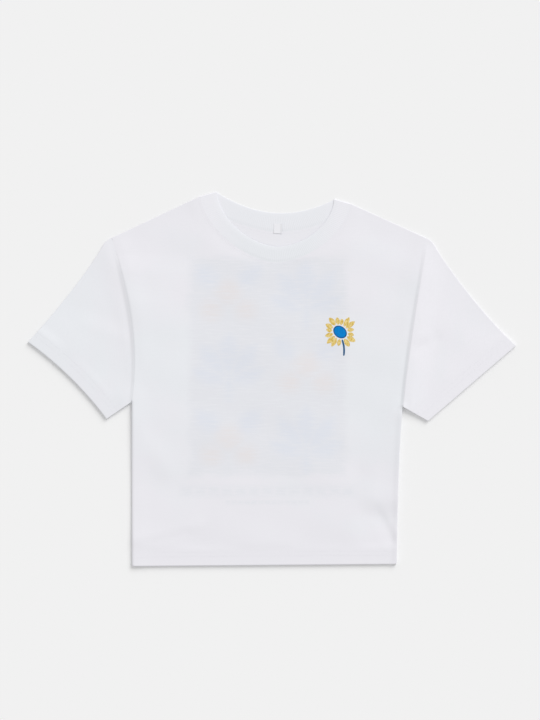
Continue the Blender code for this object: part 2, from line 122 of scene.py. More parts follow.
Dip = namedtuple("Dip", "ends depth power root")
NECK = {
    "front_seam": Dip("neck", 87.5, 1.65, 1.65),
    "front_inner": Dip("band", 72.0, 1.75, 1.75),
    "back_seam": Dip("neck", 44.0, 1.6, 1.6),
    "back_inner": Dip("band", 24.0, 2.0, 1.0),
}

# Where the cloth steps up at an armhole seam. The side that lies higher, the middle of the
# step beyond the seam, the length over which that side comes down again, and the steps at
# shares of the way up the seam.
Armhole = namedtuple("Armhole", "higher middle slope steps")
Step = namedtuple("Step", "share height width")
RIGHT_STEPS = (
    *(Step(0.0, 1.0, 5), Step(0.15, 1.5, 6), Step(0.35, 2.2, 8), Step(0.6, 2.8, 11)),
    *(Step(0.8, 1.8, 9), Step(0.9, 0.2, 7), Step(1.0, 0.0, 7)),
)
LEFT_STEPS = (
    *(Step(0.0, 2.2, 6), Step(0.15, 2.4, 6), Step(0.4, 2.4, 7), Step(0.6, 2.0, 6)),
    *(Step(0.8, 1.7, 6), Step(0.9, 0.9, 6), Step(0.96, 0.0, 6), Step(1.0, 0.0, 6)),
)
ARMHOLES = {
    "right": Armhole("body", -1.4, 150.0, RIGHT_STEPS),
    "left": Armhole("sleeve", -1.2, 40.0, LEFT_STEPS),
}

# The side seams: the wearer's right one lies on a long rise, the left one is a soft bead.
Roll = namedtuple("Roll", "height reach")
ROLLS = {"right": Roll(0.9, 32.0), "left": Roll(1.0, 9.0)}
PRESSED = 1.3  # the upper edges are pressed down by this
PRESSED_REACH = 58.0
LEAST_LAY = 1.45  # no lower than the two layers on each other
LAY_EASE = 0.3  # how softly they come to rest so
EDGE_ROUND = 0.4  # a closed edge is rounded over this width, and a side seam over these
SIDE_ROUND = {"right": 3.4, "left": 0.4}

# Creases: from here to there, height of the ridge (a trough is negative), reach across.
Fold = namedtuple("Fold", "start end height reach")
FOLD_FROM_SEAM = 14.0
FOLD_FROM_HEM = 10.0
UPPER_FOLDS = (
    Fold((193, -90), (190, -160), 1.2, 22),
    Fold((-198, -230), (-104, -207), 0.45, 9),
    Fold((-198, -238), (-120, -217), -0.35, 6),
    Fold((-196, -60), (-150, -130), 0.6, 16),
    Fold((184, -60), (140, -120), 0.6, 16),
    Fold((196, 55), (218, 60), 0.5, 9),
    Fold((198, 40), (232, 58), -0.6, 8),
    Fold((-212, 60), (-262, 78), 0.5, 12),
    Fold((-60, -90), (70, -140), 0.5, 40),
    Fold((-120, 60), (110, 40), 0.5, 60),
)
# A drop in the cloth: the height between the left side of its line, which stands up, and the
# right side, the width that it takes, and the slope over which both come back to level.
Drop = namedtuple("Drop", "start end height width slope")
DROP_EASE = 34.0  # its ends run out over this length
UPPER_DROPS = (
    Drop((146, -183), (166, -185), 2.6, 32, 120),
    Drop((162, -200), (174, -224), 1.3, 13, 24),
)
UNDER_FOLDS = (
    Fold((-150, -205), (-90, -190), 0.45, 10),
    Fold((95, -222), (150, -205), 0.5, 9),
    Fold((-160, -60), (-120, -118), 0.4, 12),
    Fold((150, -70), (112, -126), 0.45, 13),
    Fold((-250, 60), (-285, 40), 0.4, 9),
    Fold((240, 62), (280, 36), 0.4, 9),
    Fold((-40, 120), (60, 96), 0.35, 22),
)

# Long faint swells of cloth that was smoothed by hand: height, wave length, direction and
# phase in degrees.
Swell = namedtuple("Swell", "height wave direction phase")
SWELLS = (
    Swell(0.26, 150, 25, 40),
    Swell(0.18, 95, 118, 200),
    Swell(0.12, 62, 70, 310),
    Swell(0.08, 47, 160, 90),
)

# Mesh density: the lattice of a panel, and the loops along its edge at these depths
PITCH = 4.0
RINGS = (0.15, 0.4, 0.7, 1.1, 1.7, 2.5, 3.5, 5.0, 7.0, 9.5)
LOOP_CLEAR = 0.97  # a loop's points keep this share of its depth from the whole edge
LOOP_LEAN = 0.4
LATTICE_CLEAR = 2.0
STRIP_CLEAR = 6.5
STRIP_ROWS = (11.0, 12.0, 13.0, 14.0, 15.0, 17.0, 18.0, 19.0, HEM_DEPTH, HEM_DEPTH + HEM_STEP)
EDGE_POINTS = {"hem": 111, "side": 66, "armhole": 71, "shoulder": 36, "neck": 141}
LINE_POINTS = 33
NECK_LINE_POINTS = 91
RIB_LINE_POINTS = 401
ROW_STEP = 2.0
CUFF_ROW_POINTS = 90
SLEEVE_EDGE = (0.0, 0.12, 0.3, 0.55, 0.9, 1.5, 2.6, 4.0, 6.0)
SLEEVE_COLUMNS = 42
SLEEVE_WIDTH = 200.0
SLEEVE_FROM_SEAM = (0.0, 0.5, 1.1, 1.8, 2.6, 3.6, 5.0, 7.0, 9.5)
SLEEVE_FROM_CUFF = (*STRIP_ROWS[::-1], 10.0, 6.0, 3.0, 1.0, 0.6, 0.3, 0.0)
SLEEVE_STATIONS = 30
RIB_STATIONS = 8  # across one rib of the neck knit
BAND_TURNS = 24
FOLD_RIBS = 3  # ribs of the neck knit round each shoulder fold
RIB_FULLNESS = 0.6  # 1 is a wave, and less is a fuller rib with a narrower furrow
SHARP = np.radians(50)  # a steeper edge than this isn't shaded round
WELD = 1e-6  # points closer than this are one
ONLY_INSIDE = 1  # what Blender's triangulation calls the kind that fills the outline alone


# ---------------------------------------------------------------- plan of the shirt


def corner(name, side):
    return np.array(getattr(CORNERS[name], side), float)


def edge_line(name, side, count=LINE_POINTS):
    """Points along an edge on one side of the shirt."""
    edge = EDGES[name]
    start, end = corner(edge.start, side), corner(edge.end, side)
    pulls = getattr(edge, side) or ((end - start) / 3, (start - end) / 3)
    t = np.linspace(0, 1, count)[:, None]
    first, second = start + pulls[0], end + pulls[1]
    return (
        (1 - t) ** 3 * start
        + 3 * (1 - t) ** 2 * t * first
        + 3 * (1 - t) * t**2 * second
        + t**3 * end
    )


def reached(line):
    """The length of a line up to each of its points."""
    return np.concatenate([[0], np.cumsum(np.linalg.norm(np.diff(line, axis=0), axis=1))])


def at_lengths(line, lengths):
    """Points at lengths along a line."""
    way = reached(line)
    return np.stack([np.interp(lengths, way, line[:, axis]) for axis in (0, 1)], axis=-1)


def along(line, shares):
    """Points at shares of a line's length."""
    return at_lengths(line, np.asarray(shares, float) * reached(line)[-1])


def shifted(line, depth):
    """The line moved to the left of its own direction."""
    run = np.gradient(line, axis=0)
    normal = np.stack([-run[:, 1], run[:, 0]], axis=1)
    return line + depth * normal / np.linalg.norm(normal, axis=1)[:, None]


def distance(points, line):
    """How far each point lies from a line."""
    start, run = line[:-1], np.diff(line, axis=0)
    offset = points[:, None] - start
    share = np.clip((offset * run).sum(2) / (run * run).sum(1), 0, 1)
    return np.linalg.norm(offset - share[..., None] * run, axis=2).min(1)


def nearest(points, lines):
    """How far each point lies from the nearest of some lines."""
    return np.min([distance(points, line) for line in lines], axis=0)


def outward(side):
    """Away from the shirt, square to the fold of the neck rib on one side."""
    run = corner("band", side) - corner("neck", side)
    normal = np.array([-run[1], run[0]]) / np.linalg.norm(run)
    return normal if normal[1] > 0 else -normal


def band_end(name, side):
    """Where a neck curve meets the rib's fold, half the folded height inside the outline."""
    return corner(name, side) - outward(side) * BAND_FOLD_LAY / 2


def neck_curve(name, w):
    """Points of a neck curve at places w across it, from -1 to 1."""
    curve = NECK[name]
    w = np.asarray(w, float)
    share = ((w + 1) / 2)[:, None]
    chord = (1 - share) * band_end(curve.ends, "right") + share * band_end(curve.ends, "left")
    dip = curve.depth * np.clip(1 - np.abs(w) ** curve.power, 0, None) ** (1 / curve.root)
    return chord - np.stack([np.zeros_like(w), dip], axis=1)


def across_neck(count):
    """Places across the neck, closer together towards the shoulders."""
    return -np.cos(np.linspace(0, np.pi, count))


def neck_edge(name):
    """A panel's neck edge, from the wearer's left to right, a seam gap from the rib."""
    seam = neck_curve(name, across_neck(EDGE_POINTS["neck"]))[::-1]
    return shifted(np.vstack([corner("neck", "left"), seam, corner("neck", "right")]), SEAM_GAP)


def panel_outline(neck):
    """A body panel's outline, anticlockwise from the hem's corner on the wearer's right."""
    hem = np.linspace(corner("hem", "right"), corner("hem", "left"), EDGE_POINTS["hem"])
    lines = {
        (name, side): edge_line(name, side, EDGE_POINTS[name])
        for name in ("side", "armhole", "shoulder")
        for side in ("right", "left")
    }
    return np.vstack(
        [
            hem[:-1],
            lines["side", "left"][:-1],
            shifted(lines["armhole", "left"], SEAM_GAP),
            lines["shoulder", "left"][1:-1],
            neck_edge(neck),
            lines["shoulder", "right"][-2:0:-1],
            shifted(lines["armhole", "right"][::-1], SEAM_GAP),
            lines["side", "right"][-2:0:-1],
        ]
    )


SIDES = ("right", "left")
HEM_LINE = np.array([corner("hem", "right"), corner("hem", "left")])
CUFF_LINES = [edge_line("cuff", side) for side in SIDES]
ARMHOLE_LINES = {side: edge_line("armhole", side) for side in SIDES}
SIDE_LINES = {side: edge_line("side", side) for side in SIDES}
OTHER_CLOSED_LINES = [
    edge_line(name, side) for name in ("underarm", "cap", "sleeve_top", "shoulder") for side in SIDES
]
PRESSED_LINES = [
    edge_line(name, side) for name in ("cap", "sleeve_top", "shoulder") for side in SIDES
]
NECK_LINES = {
    part: neck_curve(part + "_seam", across_neck(NECK_LINE_POINTS)) for part in ("front", "back")
}


# ---------------------------------------------------------------- how the cloth lies


def fall(gap, reach):
    """1 at no gap, easing down to 0 at the reach."""
    share = np.clip(1 - gap / reach, 0, 1)
    return share * share * (3 - 2 * share)


def bump(gap, reach):
    """1 at no gap, falling off like a bell."""
    return np.exp(-((gap / reach) ** 2))


def rounded(gap, radius):
    """The height of a quarter circle, as a share of its radius, at a gap from its foot."""
    return np.sqrt(1 - (1 - np.clip(gap / radius, 0, 1)) ** 2)


def band_lay(w):
    """Height of the rib's upper face across the front of the neck."""
    before_fold = np.clip(BAND_LIES_ON - np.abs(w), 0, None)
    return BAND_LAY + (BAND_FOLD_LAY - BAND_LAY) * fall(before_fold, BAND_LIES_ON - BAND_LEVEL)


def hem_gaps(points):
    """How far points lie from the fold of the body's hem, and from that of a cuff."""
    return distance(points, HEM_LINE), nearest(points, CUFF_LINES)


def thickness(points):
    """Wall of either layer: double in the turned-up strips."""
    gap = np.minimum(*hem_gaps(points))
    return WALL + (HEM_WALL - WALL) * np.clip(1 - (gap - HEM_DEPTH) / HEM_STEP, 0, 1)


def folds_at(points, folds):
    """The height of soft creases."""
    return sum(
        fold.height * bump(distance(points, np.array([fold.start, fold.end], float)), fold.reach)
        for fold in folds
    )


def drops_at(points, drops):
    """The height of soft steps, above the cloth's level on one side and below it on the other."""
    total = np.zeros(len(points))
    for drop in drops:
        run = np.subtract(drop.end, drop.start)
        length = np.linalg.norm(run)
        out = (points - drop.start) / length
        share = out @ run / length
        beside = out @ np.array([-run[1], run[0]])
        past = np.clip(np.abs(share - 0.5) - 0.5, 0, None) * length
        raised = 0.5 - fall(beside + drop.width / 2, drop.width)
        total += drop.height * raised * fall(np.abs(beside), drop.slope) * fall(past, DROP_EASE)
    return total


def swell_at(points):
    """The height of the long faint swells."""
    total = np.zeros(len(points))
    for swell in SWELLS:
        turn, phase = np.radians([swell.direction, swell.phase])
        way = points @ np.array([np.cos(turn), np.sin(turn)])
        total += swell.height * np.sin(2 * np.pi * way / swell.wave + phase)
    return total


def sewn_rows(points):
    """How far the needle rows of the hems and the armhole seams pull the cloth in."""
    gaps = hem_gaps(points)
    rows = STITCH_SINK * sum(bump(gap - row, STITCH_REACH) for gap in gaps for row in HEM_ROWS)
    furrow = FURROW * bump(nearest(points, ARMHOLE_LINES.values()), FURROW_REACH)
    return rows + furrow * fall(np.clip(points[:, 1] - FURROW_TOP, 0, None), FURROW_EASE)


def armhole_step(points, side):
    """How far the cloth is raised on the higher side of an armhole seam."""
    seam, line = ARMHOLES[side], ARMHOLE_LINES[side]
    outwards = 1 if side == "left" else -1
    beyond = outwards * (points[:, 0] - np.interp(points[:, 1], line[:, 1], line[:, 0]))
    gap = distance(points, line) * np.sign(beyond)
    upwards = (points[:, 1] - line[0, 1]) / (line[-1, 1] - line[0, 1])
    shares, heights, widths = np.array(seam.steps).T
    height, width = np.interp(upwards, shares, heights), np.interp(upwards, shares, widths)
    into = (gap if seam.higher == "sleeve" else -gap) - seam.middle
    raised = 1 - fall(into + width / 2, width)
    return height * raised * fall(np.clip(into, 0, None), seam.slope)


def lay(points):
    """Height of the shirt's upper face, before its edges are rounded."""
    strip = HEM_DEPTH + HEM_STEP
    hem_fold_gap, cuff_fold_gap = hem_gaps(points)
    body_gap, cuff_gap = hem_fold_gap - strip, cuff_fold_gap - strip
    hem = (HEM_LAY - LAY) * fall(body_gap, HEM_SLOPE)
    cuff = (HEM_LAY - LAY) * fall(cuff_gap, CUFF_SLOPE)
    seam_gap = nearest(points, ARMHOLE_LINES.values())
    armhole = SEAM_LIFT * fall(seam_gap, SEAM_SLOPE)
    neck_line = NECK_LINES["front"]
    ends = neck_line[[0, -1], 0]
    w = np.clip((2 * points[:, 0] - ends.sum()) / (ends[1] - ends[0]), -1, 1)
    neck_gap = distance(points, neck_line)
    by_band = fall(neck_gap, BAND_SLOPE)
    # Where two of these meet, the higher one wins, softly.
    smooth = (np.array([hem, cuff, armhole]) ** 3).sum(0) ** (1 / 3)
    smooth += (band_lay(w) - BAND_DROP - LAY) * by_band
    clear_of_seams = 1 - fall(np.minimum(seam_gap, neck_gap), FOLD_FROM_SEAM)
    clear_of_hems = 1 - fall(np.minimum(body_gap, cuff_gap), FOLD_FROM_HEM)
    loose = folds_at(points, UPPER_FOLDS) + drops_at(points, UPPER_DROPS) + swell_at(points)
    loose *= clear_of_seams
    pressed = fall(nearest(points, PRESSED_LINES), PRESSED_REACH)
    loose -= PRESSED * pressed * (1 - by_band)
    beads = HEM_BEAD * fall(hem_fold_gap, HEM_BEAD_REACH)
    beads -= BAND_GROOVE * bump(neck_gap, BAND_GROOVE_REACH) * fall(np.abs(w), OPEN_FROM)
    for side in SIDES:
        beads += ROLLS[side].height * fall(distance(points, SIDE_LINES[side]), ROLLS[side].reach)
        beads += armhole_step(points, side)
    level = LAY + smooth + loose * clear_of_hems
    over = level - LEAST_LAY
    return LEAST_LAY + (over + np.hypot(over, LAY_EASE)) / 2 + beads


def meeting_height(points):
    """Where the two layers meet at a closed edge: halfway between their inner faces."""
    return lay(points) / 2


def hem_round(points, outer, inner):
    """Both faces of a layer, rounded at the fold of a hem or cuff."""
    share = rounded(np.minimum(*hem_gaps(points)), HEM_WALL / 2)
    middle = (outer + inner) / 2
    rim = RIM / 2 * np.sign(outer - inner)
    return (
        middle + rim + (outer - middle - rim) * share,
        middle - rim + (inner - middle + rim) * share,
    )


def closed_gap(points):
    """How far points lie from the nearest closed edge."""
    return nearest(points, [*SIDE_LINES.values(), *OTHER_CLOSED_LINES])


def edge_share(points):
    """How full the upper layer is at its rounded edges, from 0 to 1."""
    shares = [rounded(nearest(points, OTHER_CLOSED_LINES), EDGE_ROUND)]
    shares += [rounded(distance(points, SIDE_LINES[side]), SIDE_ROUND[side]) for side in SIDES]
    return np.min(shares, axis=0)


def upper_layer(points):
    """Outer and inner face of the layer on top."""
    foot = meeting_height(points) + SEAM_GAP / 2
    outer = lay(points)
    inner = outer - thickness(points)
    inner = inner + (foot - inner) * fall(closed_gap(points), EDGE_CLOSE)
    outer = foot + RIM + (outer - foot - RIM) * edge_share(points)
    return hem_round(points, outer - sewn_rows(points), inner)


def lower_layer(points):
    """Outer and inner face of the layer on the surface."""
    gap = closed_gap(points)
    foot = meeting_height(points) - SEAM_GAP / 2
    inner = thickness(points) + NECK_RISE * fall(distance(points, NECK_LINES["back"]), NECK_RISE_REACH)
    inner = inner + (foot - inner) * fall(gap, EDGE_CLOSE)
    loose = folds_at(points, UNDER_FOLDS) * (1 - fall(gap, FOLD_FROM_SEAM))
    outer = UNDER_LIFT * (1 - rounded(gap, UNDER_ROUND)) + loose + sewn_rows(points)
    return hem_round(points, np.minimum(outer, inner - RIM), inner)


# ---------------------------------------------------------------- materials


def linear(hex_colour):
    """An sRGB hex colour as linear red, green, blue and alpha."""
    shares = [int(hex_colour[i : i + 2], 16) / 255 for i in (1, 3, 5)]
    return (*(s / 12.92 if s <= 0.04045 else ((s + 0.055) / 1.055) ** 2.4 for s in shares), 1)


def node(tree, kind, inputs=(), output=0, **settings):
    """Adds a node with its settings, sets or links its inputs, and gives one of its outputs.

    A kind in capitals is the operation of a Math node.
    """
    if kind.isupper():
        kind, settings = "ShaderNodeMath", {"operation": kind}
    made = tree.nodes.new(kind)
    for name, value in settings.items():
        setattr(made, name, value)
    for key, value in inputs.items() if isinstance(inputs, dict) else enumerate(inputs):
        if isinstance(value, bpy.types.NodeSocket):
            tree.links.new(value, made.inputs[key])
        else:
            made.inputs[key].default_value = value
    return made.outputs[output] if made.outputs else made


def new_material(name, colour, roughness, sheen=0.0, specular=0.2):
    """A material, what adds nodes to it, its shader and the cloth's own coordinates in metres."""
    material = bpy.data.materials.new(name)
    material.use_nodes = True
    shader = material.node_tree.nodes["Principled BSDF"]
    shader.inputs["Base Color"].default_value = linear(colour)
    shader.inputs["Roughness"].default_value = roughness
    shader.inputs["Specular IOR Level"].default_value = specular
    shader.inputs["Sheen Weight"].default_value = sheen
    add = partial(node, material.node_tree)
    return material, add, shader, add("ShaderNodeUVMap", uv_map="cloth")


def stained(add, tone, *stains):
    """A tone with hex colours laid over it, each by its own mask."""
    for mask, hex_colour in stains:
        inputs = {0: mask, 6: tone, 7: linear(hex_colour)}
        tone = add("ShaderNodeMix", inputs, output=2, data_type="RGBA")
    return tone


def streaks(add, place, across, along_cloth, detail=2.0):
    """Noise drawn out over two lengths in metres, from -0.5 to 0.5."""
    drawn = add("ShaderNodeMapping", {0: place, 3: (1 / across, 1 / along_cloth, 1)})
    noise = add("ShaderNodeTexNoise", {"Vector": drawn, "Scale": 1.0, "Detail": detail})
    return add("SUBTRACT", (noise, 0.5))


def knit(add, place, wale, course):
    """Relief of plain knitting: columns of small chevrons, one stitch wale x course in metres."""
    across, up, _ = add("ShaderNodeSeparateXYZ", (place,)).node.outputs
    leg = add("PINGPONG", (add("DIVIDE", (across, wale)), 0.5))
    climb = add("MULTIPLY_ADD", (up, 1 / course, leg))
    chevron = add("SINE", (add("MULTIPLY", (climb, 2 * np.pi)),))
    crown = add("SINE", (add("MULTIPLY", (leg, 2 * np.pi)),))
    legs = add("MULTIPLY_ADD", (chevron, CHEVRON_SHARE, 1 - CHEVRON_SHARE))
    return add("MULTIPLY", (legs, crown))


def raise_surface(add, shader, *reliefs):
    """Bump from reliefs, each a socket and its depth in metres."""
    height = 0.0
    for relief, depth in reliefs:
        height = add("MULTIPLY_ADD", (relief, depth, height))
    bumped = add("ShaderNodeBump", {"Strength": 1.0, "Distance": 1.0, "Height": height})
    bumped.id_data.links.new(bumped, shader.inputs["Normal"])


# Jersey of this weight has 0.8 mm between its columns and 0.6 mm between its rows, which is
# finer than a pixel. It is drawn a little coarser, so that it shows close by. In metres.
WALE = 0.0011
COURSE = 0.0009
KNIT_DEPTH = 0.00003
CHEVRON_SHARE = 0.35  # of a column's relief, the rest being its round back
SLUB = (0.024, 0.0024)  # a thicker stretch of yarn, along and across the course
SLUB_DEPTH = 0.00006
FUZZ = (0.0006, 0.0006)  # loose fibres
FUZZ_DEPTH = 0.00002
DRIFT = (0.11, 0.08)  # the white of bleached cloth drifts over a hand's width
DRIFT_SHARE = 2.5
COTTON_FINISH = {"roughness": 0.9, "sheen": 0.06}

FLOWER_MIDDLE = (96.4, 66.3)
DISC_HALF = (10.5, 8.1)
DISC_TURN = -38.0

# Bleached cotton: its white, a lighter one that is painted light, and the cooler cast that it drifts
# to
COTTON = "#e8e7ec"
COTTON_PAINTED_LIGHT = "#ecebf0"
COTTON_COOL = "#e7e9ed"
# The rib's darker, cooler white is painted shade of its furrows.
RIB_PAINTED_SHADE_WHITE = "#e6e8ec"

# How much of them a piece has: the share of the lighter white, which is painted light, and its rise a
# metre towards the wearer's left shoulder, where the key light comes from, the share of the cool cast
# and its fall a metre up or down.
PaintedLightAndCast = namedtuple("PaintedLightAndCast", "light rise cool fade")

# The print on the back: a cream field with leaf sprigs and berries in turn, two across and
# three down, and two rows of dashes below it. A motif's parts are in shares of its cell.
PRINT_MIDDLE = (-6.4, 17.4)
FIELD_HALF = (110.0, 154.0)
CELL = (110.0, 102.7)
Motif = namedtuple("Motif", "ink odd x y turn length width")
MOTIFS = (
    Motif("leaf", 0, 0.00, 0.17, 90, 0.54, 0.26),
    Motif("leaf", 0, -0.20, 0.08, 126, 0.50, 0.24),
    Motif("leaf", 0, 0.20, 0.08, 54, 0.50, 0.24),
    Motif("leaf", 0, -0.25, -0.13, 158, 0.42, 0.20),
    Motif("leaf", 0, 0.25, -0.13, 22, 0.42, 0.20),
    Motif("leaf", 0, 0.00, -0.28, 90, 0.36, 0.06),
    Motif("leaf", 1, 0.27, 0.24, 45, 0.40, 0.22),
    Motif("leaf", 1, -0.27, 0.24, 135, 0.40, 0.22),
    Motif("berry", 1, 0.00, 0.02, 0, 0.30, 0.30),
    Motif("berry", 1, -0.22, -0.22, 0, 0.24, 0.24),
    Motif("berry", 1, 0.22, -0.22, 0, 0.24, 0.24),
)
Dashes = namedtuple("Dashes", "level half_height half_row pitch half_dash")
DASH_ROWS = (Dashes(-159.0, 6.0, 122.0, 19.0, 7.4), Dashes(-175.0, 2.2, 58.0, 9.5, 3.6))
FIELD_UNEVEN = (0.03, 0.03)  # the field's edge wanders over this length, in metres

# How it is inked, and how it shows through a layer: its colours, how soft the edges of its
# field and of its motifs are in mm, the size of its streaks and how much they thin it
Inks = namedtuple("Inks", "field leaf berry dash soft motif_soft streaks thinning")
PRINTED = Inks("#f1ead6", "#2f7fbe", "#e2bc52", "#2f7fbe", 0.8, 0.8, FUZZ, 0.5)
GHOST = Inks("#e3e4e9", "#dfe2ea", "#e5e2e4", "#e3e4e9", 17.0, 27.0, SLUB, 2.4)
GHOST_DASH = 0.95  # the dashes show through a little less


def print_masks(add, place, soft, motif_soft):
    """Masks of the back print's field and dashes, leaves and berries, with soft edges in mm."""
    middle = tuple(c * MM for c in PRINT_MIDDLE)
    inputs = {0: place, 1: (*middle, 0), 3: (MM, MM, 1)}
    settled = add("ShaderNodeMapping", inputs, vector_type="TEXTURE")
    x, y, _ = add("ShaderNodeSeparateXYZ", (settled,)).node.outputs

    def edge(inwards, width=soft):
        """1 inside and 0 outside, by a distance in mm that is counted inwards."""
        limits = (inwards, -width / 2, width / 2)
        return add("ShaderNodeMapRange", limits, interpolation_type="SMOOTHSTEP")

    def within(offset, half):
        """How far inside a band of this half width, in mm."""
        return add("SUBTRACT", (half, add("ABSOLUTE", (offset,))))

    def repeated(offset, pitch, shift=0.0):
        """The place in a cell, in shares of it, and the cell's number."""
        cell = add("MULTIPLY_ADD", (offset, 1 / pitch, shift))
        number = add("ROUND", (cell,))
        return add("SUBTRACT", (cell, number)), number

    in_field = add("MINIMUM", (within(x, FIELD_HALF[0]), within(y, FIELD_HALF[1])))
    field = edge(add("MULTIPLY_ADD", (streaks(add, place, *FIELD_UNEVEN), soft, in_field)))
    (u, column), (v, row) = repeated(x, CELL[0], 0.5), repeated(y, CELL[1])
    cell = add("ShaderNodeCombineXYZ", (u, v))
    odd = add("FLOORED_MODULO", (add("ADD", (column, row)), 2.0))
    turns = {1: odd, 0: add("SUBTRACT", (1.0, odd))}
    masks = {"field": field, "leaf": 0.0, "berry": 0.0, "dash": 0.0}
    for motif in MOTIFS:
        inputs = {
            0: cell,
            1: (motif.x, motif.y, 0),
            2: (0, 0, np.radians(motif.turn)),
            3: (motif.length / 2, motif.width / 2, 1),
        }
        own = add("ShaderNodeMapping", inputs, vector_type="TEXTURE")
        if motif.ink == "leaf":
            long, wide, _ = add("ShaderNodeSeparateXYZ", (own,)).node.outputs
            reach = add("MULTIPLY_ADD", (long, long, add("ABSOLUTE", (wide,))))
        else:
            reach = add("ShaderNodeVectorMath", (own,), output="Value", operation="LENGTH")
        half_width = motif.width * CELL[0] / 2
        inwards = add("MULTIPLY", (add("SUBTRACT", (1.0, reach)), half_width))
        inside_it = edge(inwards, motif_soft)
        shown = add("MULTIPLY", (inside_it, turns[motif.odd]))
        masks[motif.ink] = add("MAXIMUM", (masks[motif.ink], shown))
    for ink in ("leaf", "berry"):
        masks[ink] = add("MULTIPLY", (masks[ink], field))
    for row in DASH_ROWS:
        dash = add("MULTIPLY", (repeated(x, row.pitch)[0], row.pitch))
        across = add("MINIMUM", (within(dash, row.half_dash), within(x, row.half_row)))
        upright = within(add("ADD", (y, PRINT_MIDDLE[1] - row.level)), row.half_height)
        shown = edge(add("MINIMUM", (across, upright)), min(soft, 3 * row.half_height))
        masks["dash"] = add("MAXIMUM", (masks["dash"], shown))
    return masks


def cotton_jersey(name, painted_light_and_cast, inks=None, cover=0.0):
    """White cotton single jersey, knitted, bleached and washed: matt, with a soft bloom, and painted
    light in its white.

    The cover is how strongly the print shows, on it or through it.
    """
    material, add, shader, place = new_material(name, COTTON, **COTTON_FINISH)
    across, up, _ = add("ShaderNodeSeparateXYZ", (place,)).node.outputs
    # Painted light: the lighter white, more of it towards the wearer's left shoulder, where the key
    # light comes from.
    light = add("MULTIPLY_ADD", (add("ADD", (across, up)), painted_light_and_cast.rise, painted_light_and_cast.light))
    cast = add("MULTIPLY_ADD", (streaks(add, place, *DRIFT), DRIFT_SHARE, painted_light_and_cast.cool))
    cool = add("MULTIPLY_ADD", (add("ABSOLUTE", (up,)), -painted_light_and_cast.fade, cast))
    tone = stained(add, linear(COTTON), (light, COTTON_PAINTED_LIGHT), (cool, COTTON_COOL))
    if inks:
        masks = print_masks(add, place, inks.soft, inks.motif_soft)
        if inks is GHOST:
            masks["dash"] = add("MULTIPLY", (masks["dash"], GHOST_DASH))
        cover = add("MULTIPLY_ADD", (streaks(add, place, *inks.streaks), inks.thinning, cover))
        for part, mask in masks.items():
            tone = stained(add, tone, (add("MULTIPLY", (mask, cover)), getattr(inks, part)))
    tone.id_data.links.new(tone, shader.inputs["Base Color"])
    raise_surface(
        add,
        shader,
        (knit(add, place, WALE, COURSE), KNIT_DEPTH),
        (streaks(add, place, *SLUB), SLUB_DEPTH),
        (streaks(add, place, *FUZZ), FUZZ_DEPTH),
    )
    return material


def own_place(add):
    """A piece's place in the shirt, in metres."""
    return add("ShaderNodeTexCoord", output="Object")


# Where the rib shows the jersey's lighter white, which is painted light, in place of its painted
# furrow shade: past these distances from its middle, and in its back half. In metres, from where it
# starts to where it is full, and how full.
Change = namedtuple("Change", "start end share")
RIB_MIDDLE = 0.005
RIB_STRETCHED = Change(0.045, 0.09, 0.8)
RIB_BEHIND = Change(0.195, 0.215, 0.3)


def rib_knit(name):
    """1x1 cotton rib, the same yarn knitted tight: its white is darker and cooler, painted shade of
    its furrows.

    It is stretched open towards the shoulders, where the painted shade gives way to the jersey's
    lighter, painted-light white.
    """
    material, add, shader, place = new_material(name, RIB_PAINTED_SHADE_WHITE, **COTTON_FINISH)
    across, up, _ = add("ShaderNodeSeparateXYZ", (own_place(add),)).node.outputs
    off_middle = add("ABSOLUTE", (add("SUBTRACT", (across, RIB_MIDDLE)),))
    shares = [
        add("MULTIPLY", (add("ShaderNodeMapRange", (way, *change[:2])), change.share))
        for way, change in ((off_middle, RIB_STRETCHED), (up, RIB_BEHIND))
    ]
    tone = stained(add, linear(RIB_PAINTED_SHADE_WHITE), (add("MAXIMUM", shares), COTTON_PAINTED_LIGHT))
    tone.id_data.links.new(tone, shader.inputs["Base Color"])
    raise_surface(
        add,
        shader,
        (knit(add, place, RIB_PITCH * MM / 2, COURSE), KNIT_DEPTH),
        (streaks(add, place, *FUZZ), FUZZ_DEPTH),
    )
    return material


FIBRE = (0.0004, 0.0004)  # the short fibres of spun thread
FIBRE_DEPTH = 0.00003
WEFT = 0.0007  # from rib to rib of the tape. Real ones are half of that, too fine to show.
WEFT_DEPTH = 0.00002


def sewing_thread(name):
    """Spun polyester thread, twisted from short fibres: white, a little shinier than cotton."""
    material, add, shader, place = new_material(name, "#eae9ee", 0.6, sheen=0.05, specular=0.3)
    material.node_tree.nodes.remove(place.node)
    raise_surface(add, shader, (streaks(add, own_place(add), *FIBRE), FIBRE_DEPTH))
    return material


def woven_tape(name):
    """Satin-woven polyester tape: smooth and faintly glossy, with fine ribs across it."""
    material, add, shader, place = new_material(name, "#ebebef", 0.6, specular=0.4)
    _, up, _ = add("ShaderNodeSeparateXYZ", (place,)).node.outputs
    weft = add("SINE", (add("MULTIPLY", (up, 2 * np.pi / WEFT)),))
    raise_surface(add, shader, (weft, WEFT_DEPTH))
    return material


BRUSH = (0.0024, 0.0036, 3.0)  # the streaks of ink that was brushed out, and their detail
BRUSH_LIMIT = 0.14
RIM_FROM, RIM_TO = 0.78, 0.92  # shares of the way out to the disc's edge


